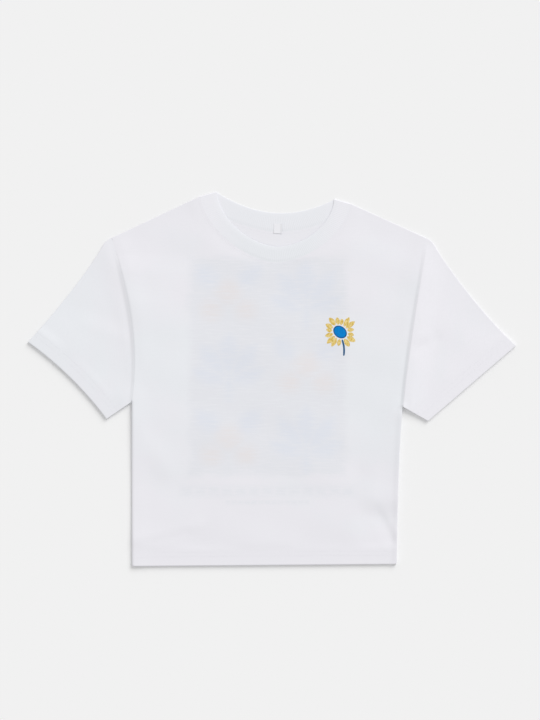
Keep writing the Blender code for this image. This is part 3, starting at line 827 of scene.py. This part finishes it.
def screen_ink(name, light, dark, rim=None):
    """Water-based ink pushed through a screen: matt, brushed out unevenly, the knit under it.

    The rim is the darker colour that has gathered along the edge of the flower's disc.
    """
    material, add, shader, place = new_material(name, light, 0.8, specular=0.1)
    limits = (streaks(add, place, *BRUSH), -BRUSH_LIMIT, BRUSH_LIMIT)
    tone = stained(add, linear(light), (add("ShaderNodeMapRange", limits), dark))
    if rim:
        inputs = {
            0: place,
            1: (FLOWER_MIDDLE[0] * MM, FLOWER_MIDDLE[1] * MM, 0),
            2: (0, 0, np.radians(DISC_TURN)),
            3: (DISC_HALF[0] * MM, DISC_HALF[1] * MM, 1),
        }
        settled = add("ShaderNodeMapping", inputs, vector_type="TEXTURE")
        reach = add("ShaderNodeVectorMath", (settled,), output="Value", operation="LENGTH")
        tone = stained(add, tone, (add("ShaderNodeMapRange", (reach, RIM_FROM, RIM_TO)), rim))
    tone.id_data.links.new(tone, shader.inputs["Base Color"])
    raise_surface(add, shader, (knit(add, place, WALE, COURSE), KNIT_DEPTH))
    return material


# ---------------------------------------------------------------- meshes


def new_object(name, data):
    made = bpy.data.objects.new(name, data)
    bpy.context.scene.collection.objects.link(made)
    return made


def add_piece(name, points, faces, material, uv=None, smooth=True):
    """A named object from points in millimetres, with the cloth's own coordinates."""
    mesh = bpy.data.meshes.new(name)
    mesh.from_pydata(np.asarray(points, float) * MM, [], faces)
    layer = mesh.uv_layers.new(name="cloth")
    plan = np.asarray(points if uv is None else uv, float)[:, :2] * MM
    corners = np.empty(len(mesh.loops), int)
    mesh.loops.foreach_get("vertex_index", corners)
    layer.data.foreach_set("uv", plan[corners].ravel())
    shape = bmesh.new()
    shape.from_mesh(mesh)
    bmesh.ops.recalc_face_normals(shape, faces=shape.faces)
    shape.to_mesh(mesh)
    shape.free()
    if smooth:
        mesh.shade_smooth()
        mesh.set_sharp_from_angle(angle=SHARP)
    mesh.materials.append(material)
    return new_object(name, mesh)


def inset_points(outline, depth):
    """Points of the loop that lies inside an outline at a depth, without its crossings."""
    before = outline - np.roll(outline, 1, axis=0)
    after = np.roll(outline, -1, axis=0) - outline
    before /= np.linalg.norm(before, axis=1)[:, None]
    after /= np.linalg.norm(after, axis=1)[:, None]
    normal = np.stack([-(before + after)[:, 1], (before + after)[:, 0]], axis=1)
    normal /= np.linalg.norm(normal, axis=1)[:, None]
    lean = -before[:, 1] * normal[:, 0] + before[:, 0] * normal[:, 1]
    loop = outline + depth * normal / np.clip(lean, LOOP_LEAN, None)[:, None]
    closed = np.vstack([outline, outline[:1]])
    return loop[distance(loop, closed) > LOOP_CLEAR * depth]


def inside(points, outline):
    """Which points an outline goes round."""
    x, y = points[:, :1], points[:, 1:]
    a, b = outline, np.roll(outline, -1, axis=0)
    spans = (a[:, 1] > y) != (b[:, 1] > y)
    rise = np.where(spans, b[:, 1] - a[:, 1], 1)
    crossing = a[:, 0] + (y - a[:, 1]) * (b[:, 0] - a[:, 0]) / rise
    return (spans & (x < crossing)).sum(1) % 2 == 1


def panel_points(outline):
    """The points of a panel: its edge, the loops along it, the hem strip's and a lattice."""
    closed = np.vstack([outline, outline[:1]])
    loops = [inset_points(outline, depth) for depth in RINGS]
    low, high = outline.min(0), outline.max(0)
    x, y = np.meshgrid(np.arange(low[0], high[0], PITCH), np.arange(low[1], high[1], PITCH))
    lattice = np.stack([x.ravel(), y.ravel()], axis=1)
    strip_middle = (STRIP_ROWS[0] + STRIP_ROWS[-1]) / 2
    lattice = lattice[np.abs(distance(lattice, HEM_LINE) - strip_middle) > STRIP_CLEAR]
    strip = [
        np.linspace(HEM_LINE[0], HEM_LINE[1], EDGE_POINTS["hem"]) + (0, rise) for rise in STRIP_ROWS
    ]
    middle = np.vstack([lattice, *strip])
    middle = middle[inside(middle, outline)]
    middle = middle[distance(middle, closed) > RINGS[-1] + LATTICE_CLEAR]
    return np.vstack([outline, *loops, middle])


def add_panel(name, neck, faces_of, material):
    """A body panel: an upper and a lower face over one plan, closed all round."""
    outline = panel_outline(neck)
    points = [Vector(point) for point in panel_points(outline)]
    filled = delaunay_2d_cdt(points, [], [list(range(len(outline)))], ONLY_INSIDE, WELD)
    plan, triangles = np.array([tuple(point) for point in filled[0]]), filled[2]
    edges = {
        (face[i], face[(i + 1) % len(face)]) for face in triangles for i in range(len(face))
    }
    border = [(a, b) for a, b in edges if (b, a) not in edges]
    upper, lower = faces_of(plan)
    count = len(plan)
    vertices = np.vstack([np.column_stack([plan, upper]), np.column_stack([plan, lower])])
    faces = [list(face) for face in triangles]
    faces += [[i + count for i in reversed(face)] for face in triangles]
    faces += [[b, a, a + count, b + count] for a, b in border]
    return add_piece(name, vertices, faces, material)


def add_rings(name, rings, coordinates, material):
    """A closed piece through rings of points of equal number, the last joined to the first."""
    size = len(rings[0])
    faces = []
    for i in range(len(rings)):
        j = (i + 1) % len(rings)
        for k in range(size):
            after = (k + 1) % size
            faces.append([i * size + k, i * size + after, j * size + after, j * size + k])
    return add_piece(name, np.vstack(rings), faces, material, np.vstack(coordinates))


def new_tree(name, sizes):
    """An empty Geometry Nodes tree with its sizes and its material as named inputs."""
    tree = bpy.data.node_groups.new(name, "GeometryNodeTree")
    tree.interface.new_socket("Geometry", in_out="INPUT", socket_type="NodeSocketGeometry")
    for size in sizes:
        tree.interface.new_socket(size, in_out="INPUT", socket_type="NodeSocketFloat")
    tree.interface.new_socket("Material", in_out="INPUT", socket_type="NodeSocketMaterial")
    tree.interface.new_socket("Geometry", in_out="OUTPUT", socket_type="NodeSocketGeometry")
    return tree, partial(node, tree)


def finish_tree(add, geometry):
    """The tree's end: real, smooth faces in the given material."""
    real = add("GeometryNodeRealizeInstances", (geometry,))
    smooth = add("GeometryNodeSetShadeSmooth", {"Geometry": real})
    material = add("NodeGroupInput", output="Material")
    add("NodeGroupOutput", (add("GeometryNodeSetMaterial", {0: smooth, "Material": material}),))


def made_with(piece, tree, values):
    """The plain mesh that a tree makes of a piece, which takes the piece's name."""
    modifier = piece.modifiers.new(tree.name, "NODES")
    modifier.node_group = tree
    for item in tree.interface.items_tree:
        if item.in_out == "INPUT" and item.name in values:
            modifier[item.identifier] = values[item.name]
    depsgraph = bpy.context.evaluated_depsgraph_get()
    mesh = bpy.data.meshes.new_from_object(piece.evaluated_get(depsgraph))
    piece.modifiers.clear()
    name, piece.data, old = piece.name, mesh, piece.data
    bpy.data.meshes.remove(old)
    mesh.name = name
    return piece


# ---------------------------------------------------------------- sewn pieces


def add_back_body():
    """The back panel, whose face to the surface is the printed one."""
    piece = add_panel(
        "back_body", "back_seam", lambda plan: lower_layer(plan)[::-1], MATERIALS["back"]
    )
    piece.data.materials.append(MATERIALS["back_inside"])
    for face in piece.data.polygons:
        face.material_index = int(face.normal.z > 0)
    return piece


def sleeve_plan(side):
    """Functions from shares across and along a sleeve to its plan, and to its length there."""
    seam = edge_line("armhole", side)[::-1]
    cuff = edge_line("cuff", side)
    top = np.vstack([edge_line("cap", side), edge_line("sleeve_top", side)[1:]])
    under = edge_line("underarm", side)

    def plan(across, out):
        s, f = across[:, None], out[:, None]
        corners = (
            (1 - s) * (1 - f) * seam[0]
            + s * (1 - f) * seam[-1]
            + (1 - s) * f * cuff[0]
            + s * f * cuff[-1]
        )
        rails = (1 - f) * along(seam, across) + f * along(cuff, across)
        edges = (1 - s) * along(top, out) + s * along(under, out)
        return rails + edges - corners

    def lengths(across):
        """From the armhole to the cuff."""
        return (1 - across) * reached(top)[-1] + across * reached(under)[-1]

    return plan, lengths


def ring_round(plan, face):
    """A ring over the plan's upper face and back under it; face 0 is outer, 1 is inner."""
    upper = upper_layer(plan)[face]
    lower = lower_layer(plan)[face]
    upper[[0, -1]] = meeting_height(plan)[[0, -1]]
    over = np.column_stack([plan, upper])
    below = np.column_stack([plan, lower])[-2:0:-1]
    return np.vstack([over, below])


def add_sleeve(name, side):
    """A flat tube from the armhole to the cuff, with rings of cloth all round it."""
    plan, lengths_at = sleeve_plan(side)
    edge = np.array(SLEEVE_EDGE) / SLEEVE_WIDTH
    middle = np.linspace(edge[-1], 1 - edge[-1], SLEEVE_COLUMNS + 2)[1:-1]
    across = np.concatenate([edge, middle, 1 - edge[::-1]])
    lengths = lengths_at(across)
    near, far = SLEEVE_FROM_SEAM, SLEEVE_FROM_CUFF
    shares = np.linspace(0, 1, SLEEVE_STATIONS + 2)[1:-1]
    from_seam = (
        [gap + 0 * lengths for gap in near]
        + [near[-1] + share * (lengths - near[-1] - far[0]) for share in shares]
        + [lengths - gap for gap in far]
    )
    rings, coordinates = ([], []), []
    for gap in from_seam:
        out = gap / lengths
        outer_plan = plan(across, out)
        wall = thickness(outer_plan) / SLEEVE_WIDTH
        inner_plan = plan(wall + across * (1 - 2 * wall), out)
        for face, ring_plan in enumerate((outer_plan, inner_plan)):
            rings[face].append(ring_round(ring_plan, face))
        flat = np.column_stack([across * SLEEVE_WIDTH, gap])
        coordinates.append(np.vstack([flat, flat[-2:0:-1]]))
    rings, coordinates = rings[0] + rings[1][::-1], coordinates + coordinates[::-1]
    return add_rings(name, rings, coordinates, MATERIALS[side + "_sleeve"])


# The neck rib's section. Its folded edge is pressed flat, and its sewn edge thins towards the
# seam, on the face that shows.
FOLD_REACH = 0.7
PRESS_REACH = 5.0
Thinning = namedtuple("Thinning", "outer inner reach fold_outer fold_inner")
THINNING = {
    "front": Thinning(0.3, 0.1, 4.5, 0.3, 0.0),
    "back": Thinning(0.1, 0.2, 5.0, 0.0, 0.15),
}
FOLD_STEPS = np.radians(np.linspace(0, 90, 8))
FLAT_STEPS = 7
SEAM_STEPS = np.linspace(1, 0, 8)


def band_section(inner, seam, height, turn, away, thinning):
    """The rib's section from its folded inner edge to its seam, turned about that line.

    Gives its points, how far each lies across the band, and its way inwards from the face.
    """
    width, half = np.linalg.norm(seam - inner), BAND_WALL / 2
    run = (seam - inner) / width
    across = np.concatenate(
        [
            FOLD_REACH * (1 - np.cos(FOLD_STEPS)),
            np.linspace(FOLD_REACH, width - thinning.reach, FLAT_STEPS + 2)[1:-1],
            width - thinning.reach * SEAM_STEPS,
        ]
    )
    full = np.concatenate([np.sin(FOLD_STEPS), np.ones(FLAT_STEPS + len(SEAM_STEPS))])
    to_seam, to_fold = fall(width - across, thinning.reach), fall(across, PRESS_REACH)
    outer = (half - thinning.fold_outer * to_fold) * full - thinning.outer * to_seam
    inner_face = (half - thinning.fold_inner * to_fold) * full - thinning.inner * to_seam
    across = np.concatenate([across, across[:0:-1]])
    off = np.concatenate([outer, -inner_face[:0:-1]])
    axis = np.array([*(away * np.sin(turn)), np.cos(turn)])
    flat = inner + across[:, None] * run
    points = np.column_stack([flat, np.full(len(across), height)]) + off[:, None] * axis
    return points, across, -(off / half)[:, None] * axis


def rib_places(part):
    """Places across the neck, some for each rib of the knit, and their ways along it."""
    w = across_neck(RIB_LINE_POINTS)
    way = reached((neck_curve(part + "_inner", w) + neck_curve(part + "_seam", w)) / 2)
    ribs = round(way[-1] / RIB_PITCH)
    steps = np.linspace(0, way[-1], RIB_STATIONS * ribs + 1)
    return np.interp(steps, way, w), steps * ribs * RIB_PITCH / way[-1]


def rib_tree():
    """Geometry Nodes: sinks a furrow after each rib of a knit, by the way along the band.

    The depth is in millimetres, as the attribute inwards is a millimetre long.
    """
    tree, add = new_tree("raise_ribs", ("Pitch", "Depth"))
    pitch, depth = (add("NodeGroupInput", output=size) for size in ("Pitch", "Depth"))
    way = add("GeometryNodeInputNamedAttribute", {"Name": "way"}, data_type="FLOAT")
    inwards = add(
        "GeometryNodeInputNamedAttribute", {"Name": "inwards"}, data_type="FLOAT_VECTOR"
    )
    turn = add("MULTIPLY", (add("DIVIDE", (way, pitch)), np.pi))
    crown = add("POWER", (add("ABSOLUTE", (add("COSINE", (turn,)),)), RIB_FULLNESS))
    furrow = add("MULTIPLY", (add("SUBTRACT", (1.0, crown)), depth))
    offset = add("ShaderNodeVectorMath", {0: inwards, "Scale": furrow}, operation="SCALE")
    band = add("NodeGroupInput", output="Geometry")
    finish_tree(add, add("GeometryNodeSetPosition", {"Geometry": band, "Offset": offset}))
    return tree


def add_neck_band():
    """A closed ring: the front half, a shoulder fold, the back half and the other fold."""
    sections, coordinates, ways, inwards = [], [], [], []

    def keep(section, step):
        points, across, into = section
        sections.append(points)
        coordinates.append(np.column_stack([np.full(len(across), step), across]))
        ways.append(np.full(len(across), step))
        inwards.append(into)

    def half(part, turn, backwards):
        places, steps = rib_places(part)
        inner, seam = neck_curve(part + "_inner", places), neck_curve(part + "_seam", places)
        heights = band_lay(places) if part == "front" else np.full(len(places), BAND_WALL)
        rows = range(len(places))
        for i in reversed(rows) if backwards else rows:
            middle = heights[i] - BAND_WALL / 2
            thinning = THINNING[part]
            if part == "front":
                outer = thinning.outer * fall(abs(places[i]), OPEN_FROM)
                thinning = thinning._replace(outer=outer)
            section = band_section(inner[i], seam[i], middle, turn, np.zeros(2), thinning)
            keep(section, steps[i])

    def fold(side, turns):
        top, bottom = BAND_FOLD_LAY - BAND_WALL / 2, BAND_WALL / 2
        radius = (top - bottom) / 2
        away = outward(side)
        for turn in turns:
            shift = away * radius * np.sin(turn)
            middle = (top + bottom) / 2 + radius * np.cos(turn)
            inner, seam = band_end("band", side) + shift, band_end("neck", side) + shift
            share = turn / np.pi
            ends = THINNING["front"]._replace(outer=0.0), THINNING["back"]
            thinning = Thinning(*((1 - share) * f + share * b for f, b in zip(*ends)))
            section = band_section(inner, seam, middle, turn, away, thinning)
            keep(section, RIB_PITCH * FOLD_RIBS * share)

    turns = np.linspace(0, np.pi, BAND_TURNS + 1)[1:-1]
    half("front", 0.0, False)
    fold("left", turns)
    half("back", np.pi, True)
    fold("right", turns[::-1])
    piece = add_rings("neck_band", sections, coordinates, MATERIALS["rib"])
    for name, kind, values in (("way", "FLOAT", ways), ("inwards", "FLOAT_VECTOR", inwards)):
        attribute = piece.data.attributes.new(name, kind, "POINT")
        key = "value" if kind == "FLOAT" else "vector"
        attribute.data.foreach_set(key, np.concatenate(values).ravel() * MM)
    values = {"Pitch": RIB_PITCH * MM, "Depth": RIB_DEPTH, "Material": MATERIALS["rib"]}
    made_with(piece, rib_tree(), values)
    for name in ("way", "inwards"):
        piece.data.attributes.remove(piece.data.attributes[name])
    return piece


# The tab at the back neck: its middle, size and turn, how it comes up on to the rib, and how
# its free edges curl up.
TAB_MIDDLE = (8.5, 213.0)
TAB_SIZE = (12.0, 14.0)
TAB_TURN = -2.0
TAB_WALL = 0.15
TAB_SLOPE = 6.0
TAB_CLEAR = 0.05
TAB_GRID = (25, 29)
TAB_CURL_SIDE = 0.7
TAB_CURL_END = 0.04
TAB_CURL_REACH = 3.2


def add_neck_tab():
    """A tape folded in two, sewn in at the seam, with its free edges curling up."""
    columns, rows = TAB_GRID
    half = np.array(TAB_SIZE) / 2
    u, v = np.meshgrid(np.linspace(-1, 1, columns), np.linspace(-1, 1, rows))
    local = np.column_stack([u.ravel(), v.ravel()]) * half
    turn = np.radians(TAB_TURN)
    rotate = np.array([(np.cos(turn), np.sin(turn)), (-np.sin(turn), np.cos(turn))])
    plan = local @ rotate + TAB_MIDDLE
    seam = NECK_LINES["back"]
    past_seam = np.interp(plan[:, 0], seam[:, 0], seam[:, 1]) - plan[:, 1]
    on_rib = fall(np.clip(past_seam, 0, None), TAB_SLOPE)
    panel = lower_layer(plan)[1]
    rest = panel + (BAND_WALL - panel) * on_rib + TAB_CLEAR
    curl = TAB_CURL_SIDE * fall(half[0] - local[:, 0], TAB_CURL_REACH)
    curl += TAB_CURL_END * fall(half[1] + local[:, 1], TAB_CURL_REACH)
    index = np.arange(columns * rows).reshape(rows, columns)
    rim = [*index[0], *index[1:, -1], *index[-1, -2::-1], *index[-2:0:-1, 0]]
    vertices, faces = [], []
    for layer in range(2):
        start, count = 2 * layer * len(plan), len(plan)
        bottom = rest + curl + layer * (TAB_WALL + SEAM_GAP)
        vertices += [np.column_stack([plan, bottom + wall]) for wall in (0, TAB_WALL)]
        for i in range(rows - 1):
            for j in range(columns - 1):
                cell = [index[i, j], index[i, j + 1], index[i + 1, j + 1], index[i + 1, j]]
                faces += [[start + k for k in cell[::-1]], [start + count + k for k in cell]]
        for a, b in zip(rim, rim[1:] + rim[:1]):
            faces.append([start + a, start + b, start + count + b, start + count + a])
    return add_piece("neck_tab", np.vstack(vertices), faces, MATERIALS["tape"])


# ---------------------------------------------------------------- stitches


def stitch_tree():
    """Geometry Nodes: a short thread laid along each line at a pitch, all made one mesh.

    Each is a bead of few faces, one unit across, drawn out to its length and width.
    """
    tree, add = new_tree("lay_stitches", ("Pitch", "Length", "Thread"))
    lines, pitch, length, thread = (
        add("NodeGroupInput", output=name) for name in ("Geometry", "Pitch", "Length", "Thread")
    )
    path = add("GeometryNodeMeshToCurve", {"Mesh": lines})
    spots = add("GeometryNodeCurveToPoints", {"Curve": path, "Length": pitch}, mode="LENGTH")
    bead = add("GeometryNodeMeshUVSphere", {"Segments": 6, "Rings": 5, "Radius": 0.5})
    size = add("ShaderNodeCombineXYZ", (thread, thread, length))
    laid = {
        "Points": spots,
        "Instance": add("GeometryNodeTransform", {"Geometry": bead, "Scale": size}),
        "Rotation": spots.node.outputs["Rotation"],
    }
    finish_tree(add, add("GeometryNodeInstanceOnPoints", laid))
    return tree


def add_stitches(name, lines, tree):
    """One plain mesh of stitches along lines of points in millimetres."""
    edges, start = [], 0
    for line in lines:
        edges += [(start + i, start + i + 1) for i in range(len(line) - 1)]
        start += len(line)
    mesh = bpy.data.meshes.new(name)
    mesh.from_pydata(np.vstack(lines) * MM, edges, [])
    sizes = {"Pitch": STITCH_PITCH, "Length": STITCH_LENGTH, "Thread": THREAD}
    values = {key: size * MM for key, size in sizes.items()}
    values["Material"] = MATERIALS["thread"]
    return made_with(new_object(name, mesh), tree, values)


def on_cloth(plan, layer, lift):
    """A line laid on the outer face of a layer, moved out by a lift."""
    return np.column_stack([plan, layer(plan)[0] + lift])


HEM_ROW_MARGIN = 1.5
NECK_ROW_MARGIN = 5.0
CUFF_ROW_MARGIN = 0.012  # of its width


def trimmed(line, margin):
    """The middle of a line, without a margin at each end."""
    return at_lengths(line, np.arange(margin, reached(line)[-1] - margin, ROW_STEP))


def hem_rows(side=None):
    """The needle rows of the body's hem, or of one cuff, in plan."""
    if side is None:
        return [trimmed(HEM_LINE + (0, row), HEM_ROW_MARGIN) for row in HEM_ROWS]
    plan, lengths_at = sleeve_plan(side)
    across = np.linspace(CUFF_ROW_MARGIN, 1 - CUFF_ROW_MARGIN, CUFF_ROW_POINTS)
    return [plan(across, 1 - row / lengths_at(across)) for row in HEM_ROWS]


def neck_row(part):
    """The row of stitches on the panel beside the neck seam, in plan."""
    return trimmed(shifted(NECK_LINES[part][::-1], NECK_ROW + SEAM_GAP), NECK_ROW_MARGIN)


# ---------------------------------------------------------------- chest print

# A small flower: an oval disc, a ring of brushed petals and a bent stem between two of them.
PETALS = 15
PETAL_CLEAR = 1.4  # from the disc
PETAL_TIP = 18.6  # from the middle
PETAL_SPREAD = 6.8  # the tips reach further by up to this, at the four corners
PETAL_CORNERS = 1.5  # 1 is a wave from corner to corner, and more keeps it to the corners
PETAL_FULLNESS = 0.96  # of the room that a petal has at its middle
PETAL_TAPER = 0.72  # 0.5 is an oval, and more is a sharper tip
PETAL_POINTS = 15
# How uneven the petals are, and how fast that changes from one to the next
Uneven = namedtuple("Uneven", "size step")
TURN_UNEVEN = Uneven(1.5, 2.3)  # degrees
TIP_UNEVEN = Uneven(0.8, 1.9)
LEAN_UNEVEN = Uneven(0.7, 1.7)
DISC_POINTS = 48
STEM = ((99.2, 55.6), (103.4, 45.0), (101.6, 32.5))
STEM_WIDTH = 2.6
STEM_TURN = -76.5  # the direction in which it leaves the disc
STEM_ROOM = 38.0  # degrees between the petals beside it
STEM_POINTS = 18
STEM_BLUNT = 10  # a higher power makes its ends blunter
STEM_END = 0.15  # the square of its width at an end, as a share
INK_WALL = 0.05
INK_LIFT = 0.05
INK_RINGS = (1.0, 0.7, 0.4)  # sizes of the rings that fill a patch of ink


def uneven(kind, index):
    return kind.size * np.sin(kind.step * index)


def turned(points, degrees):
    """Points turned about the origin."""
    turn = np.radians(degrees)
    return points @ np.array([(np.cos(turn), np.sin(turn)), (-np.sin(turn), np.cos(turn))])


def petal(index):
    """One brushed petal, widest at its middle, uneven all round."""
    spacing = (360 - STEM_ROOM) / (PETALS - 1)
    degrees = STEM_TURN + STEM_ROOM / 2 + spacing * index + uneven(TURN_UNEVEN, index)
    own = np.radians(degrees - DISC_TURN)
    root = 1 / np.hypot(np.cos(own) / DISC_HALF[0], np.sin(own) / DISC_HALF[1]) + PETAL_CLEAR
    tip = PETAL_TIP + PETAL_SPREAD * np.abs(np.sin(np.radians(2 * degrees))) ** PETAL_CORNERS
    tip += uneven(TIP_UNEVEN, index)
    wide = PETAL_FULLNESS * np.radians(spacing) * (root + tip) / 2
    share = 0.5 - 0.5 * np.cos(np.linspace(0, np.pi, PETAL_POINTS))
    half = wide / 2 * (4 * share * (1 - share)) ** PETAL_TAPER
    lean = uneven(LEAN_UNEVEN, index) * share**2
    at = root + share * (tip - root)
    over, back = np.column_stack([at, lean + half]), np.column_stack([at, lean - half])[-2:0:-1]
    return turned(np.vstack([over, back]), degrees) + FLOWER_MIDDLE


def disc():
    t = np.linspace(0, 2 * np.pi, DISC_POINTS, endpoint=False)
    oval = np.column_stack([DISC_HALF[0] * np.cos(t), DISC_HALF[1] * np.sin(t)])
    return turned(oval, DISC_TURN) + FLOWER_MIDDLE


def stem():
    """A bent stroke with rounded ends."""
    start, bend, end = (np.array(point) for point in STEM)
    t = np.linspace(0, 1, STEM_POINTS)
    line = np.outer((1 - t) ** 2, start) + np.outer(2 * (1 - t) * t, bend) + np.outer(t**2, end)
    half = STEM_WIDTH / 2 * np.sqrt(np.clip(1 - (2 * t - 1) ** STEM_BLUNT, STEM_END, 1))
    off = (shifted(line, 1.0) - line) * half[:, None]
    return np.vstack([line - off, (line + off)[::-1]])


def add_ink(name, outlines, material):
    """Thin closed patches of ink on the front, each filled in rings round its centre."""
    vertices, faces = [], []
    for outline in outlines:
        start, count = len(vertices), len(outline)
        centre = outline.mean(0)
        rings = [centre + (outline - centre) * share for share in INK_RINGS]
        plan = np.vstack([*rings, centre])
        height = upper_layer(plan)[0] + INK_LIFT
        for level in (0, INK_WALL):
            vertices += [tuple(row) for row in np.column_stack([plan, height + level])]
        top, last = start + len(plan), len(plan) - 1
        for i in range(count):
            j = (i + 1) % count
            faces.append([start + i, start + j, top + j, top + i])
            for base, order in ((start, -1), (top, 1)):
                for ring in range(len(rings) - 1):
                    a, b = base + ring * count, base + (ring + 1) * count
                    faces.append([a + i, a + j, b + j, b + i][::order])
                ring = base + (len(rings) - 1) * count
                faces.append([ring + i, ring + j, base + last][::order])
    return add_piece(name, vertices, faces, material, smooth=False)


# ---------------------------------------------------------------- the scene

# Each jersey piece has its own share of painted light, the lighter white, and its own slope of it; the
# cool cast is the cloth's own.
MATERIALS = {
    "front": cotton_jersey("cotton_jersey_front", PaintedLightAndCast(0.15, 1, 1.1, 6), GHOST, 0.95),
    "back": cotton_jersey(
        "cotton_jersey_back_printed", PaintedLightAndCast(0.4, 1.6, 0.5, 0), PRINTED, 0.93
    ),
    "back_inside": cotton_jersey("cotton_jersey_back_inside", PaintedLightAndCast(0.7, 0, 0.2, 0), GHOST, 1.0),
    "right_sleeve": cotton_jersey("cotton_jersey_right_sleeve", PaintedLightAndCast(0.5, -2.5, 0.4, -5.0)),
    "left_sleeve": cotton_jersey("cotton_jersey_left_sleeve", PaintedLightAndCast(0.7, 0.0, 0.0, 0.0)),
    "rib": rib_knit("cotton_rib_neck"),
    "tape": woven_tape("satin_tape_tab"),
    "thread": sewing_thread("spun_polyester_thread"),
    "petal_ink": screen_ink("screen_ink_yellow", "#ecd795", "#cfae52"),
    "disc_ink": screen_ink("screen_ink_blue", "#0484d2", "#0a78c2", rim="#154f80"),
    "stem_ink": screen_ink("screen_ink_slate_blue", "#3a668c", "#335b80"),
}

front = add_panel("front_body", "front_seam", upper_layer, MATERIALS["front"])
back = add_back_body()
sleeves = {side: add_sleeve(f"{side}_sleeve_tube", side) for side in SIDES}
band = add_neck_band()
tab = add_neck_tab()


def sewn_lines():
    """The name of each mesh of stitches, its slot and its lines on the cloth.

    The thread lies sunk into the cloth that shows, and further out on the underside.
    """
    over, under = THREAD / 4, THREAD / 2
    back_row = neck_row("back")
    inside_back = np.column_stack([back_row, lower_layer(back_row)[1] + over])
    yield "front_hem", "front_jersey", [on_cloth(row, upper_layer, over) for row in hem_rows()]
    yield "back_hem", "back_jersey", [on_cloth(row, lower_layer, under) for row in hem_rows()]
    yield "front_neck", "front_jersey", [on_cloth(neck_row("front"), upper_layer, over)]
    yield "back_neck", "back_jersey", [inside_back]
    for side in SIDES:
        rows = hem_rows(side)
        lines = [on_cloth(row, upper_layer, over) for row in rows]
        lines += [on_cloth(row, lower_layer, under) for row in rows]
        yield f"{side}_cuff", f"{side}_sleeve_jersey", lines


stitching = stitch_tree()
sewn = {
    name: (add_stitches(name + "_stitches", lines, stitching), slot)
    for name, slot, lines in sewn_lines()
}
PRINTS = {
    "petals": ([petal(i) for i in range(PETALS)], "petal_ink"),
    "disc": ([disc()], "disc_ink"),
    "stem": ([stem()], "stem_ink"),
}
prints = [
    add_ink("chest_print_" + part, outlines, MATERIALS[ink])
    for part, (outlines, ink) in PRINTS.items()
]

# Each piece, the node it stands for and its slot.
REPLACED = (
    (front, "front_panel", "front_jersey"),
    (back, "back_panel", "back_jersey"),
    (sleeves["left"], "left_sleeve", "left_sleeve_jersey"),
    (sleeves["right"], "right_sleeve", "right_sleeve_jersey"),
    (band, "neck_rib", "neck_rib_knit"),
    (tab, "neck_label", "label_tape"),
)
for piece, name, slot in REPLACED:
    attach(piece, "root")
    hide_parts(name)
for piece, slot in (*sewn.values(), *((piece, "front_jersey") for piece in prints)):
    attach(piece, "root")


FLOOR_REACH = 12.0  # in metres


def add_floor():
    """A pale matt sheet that the shirt lies on."""
    mesh = bpy.data.meshes.new("floor")
    signs = ((-1, -1), (1, -1), (1, 1), (-1, 1))
    mesh.from_pydata([(x * FLOOR_REACH, y * FLOOR_REACH, 0) for x, y in signs], [], [(0, 1, 2, 3)])
    paper = bpy.data.materials.new("matt_white_paper")
    paper.use_nodes = True
    shader = paper.node_tree.nodes["Principled BSDF"]
    shader.inputs["Base Color"].default_value = linear("#f1f1f1")
    shader.inputs["Roughness"].default_value = 1.0
    shader.inputs["Specular IOR Level"].default_value = 0.0
    mesh.materials.append(paper)
    new_object("floor", mesh)


# The photograph: millimetres to a pixel, its size and the middle of its frame in the plan
PIXEL = 1.418
IMAGE = (540, 720)
VIEW_MIDDLE = (-2.84, 26.6)
CAMERA_HEIGHT = 3.0
SENSOR = 24.0


def add_camera():
    """A long lens straight above, framed as the photograph is."""
    data = bpy.data.cameras.new("camera")
    data.sensor_fit = "VERTICAL"
    data.sensor_height = SENSOR
    data.lens = SENSOR * CAMERA_HEIGHT / (IMAGE[1] * PIXEL * MM)
    camera = new_object("camera", data)
    camera.location = (VIEW_MIDDLE[0] * MM, VIEW_MIDDLE[1] * MM, CAMERA_HEIGHT)
    bpy.context.scene.camera = camera


# The key light comes from the upper right of the frame, through a large soft box.
KEY_FROM = (0.57, 0.82)
KEY_ELEVATION = 35.0
KEY_SHARE = 0.34  # of the light on a level surface
KEY_ANGLE = 38.0


def add_light():
    """The soft box, and a white studio all round."""
    data = bpy.data.lights.new("key", "SUN")
    data.energy = KEY_SHARE * np.pi / np.sin(np.radians(KEY_ELEVATION))
    data.angle = np.radians(KEY_ANGLE)
    rise = np.tan(np.radians(KEY_ELEVATION)) * np.hypot(*KEY_FROM)
    turn = Vector((*KEY_FROM, rise)).to_track_quat("Z", "Y").to_euler()
    new_object("key", data).rotation_euler = turn
    world = bpy.data.worlds.new("studio")
    world.use_nodes = True
    background = world.node_tree.nodes["Background"]
    background.inputs["Color"].default_value = (1, 1, 1, 1)
    background.inputs["Strength"].default_value = 1 - KEY_SHARE
    bpy.context.scene.world = world


add_floor()
add_camera()
add_light()
bpy.context.scene.view_settings.view_transform = "Standard"
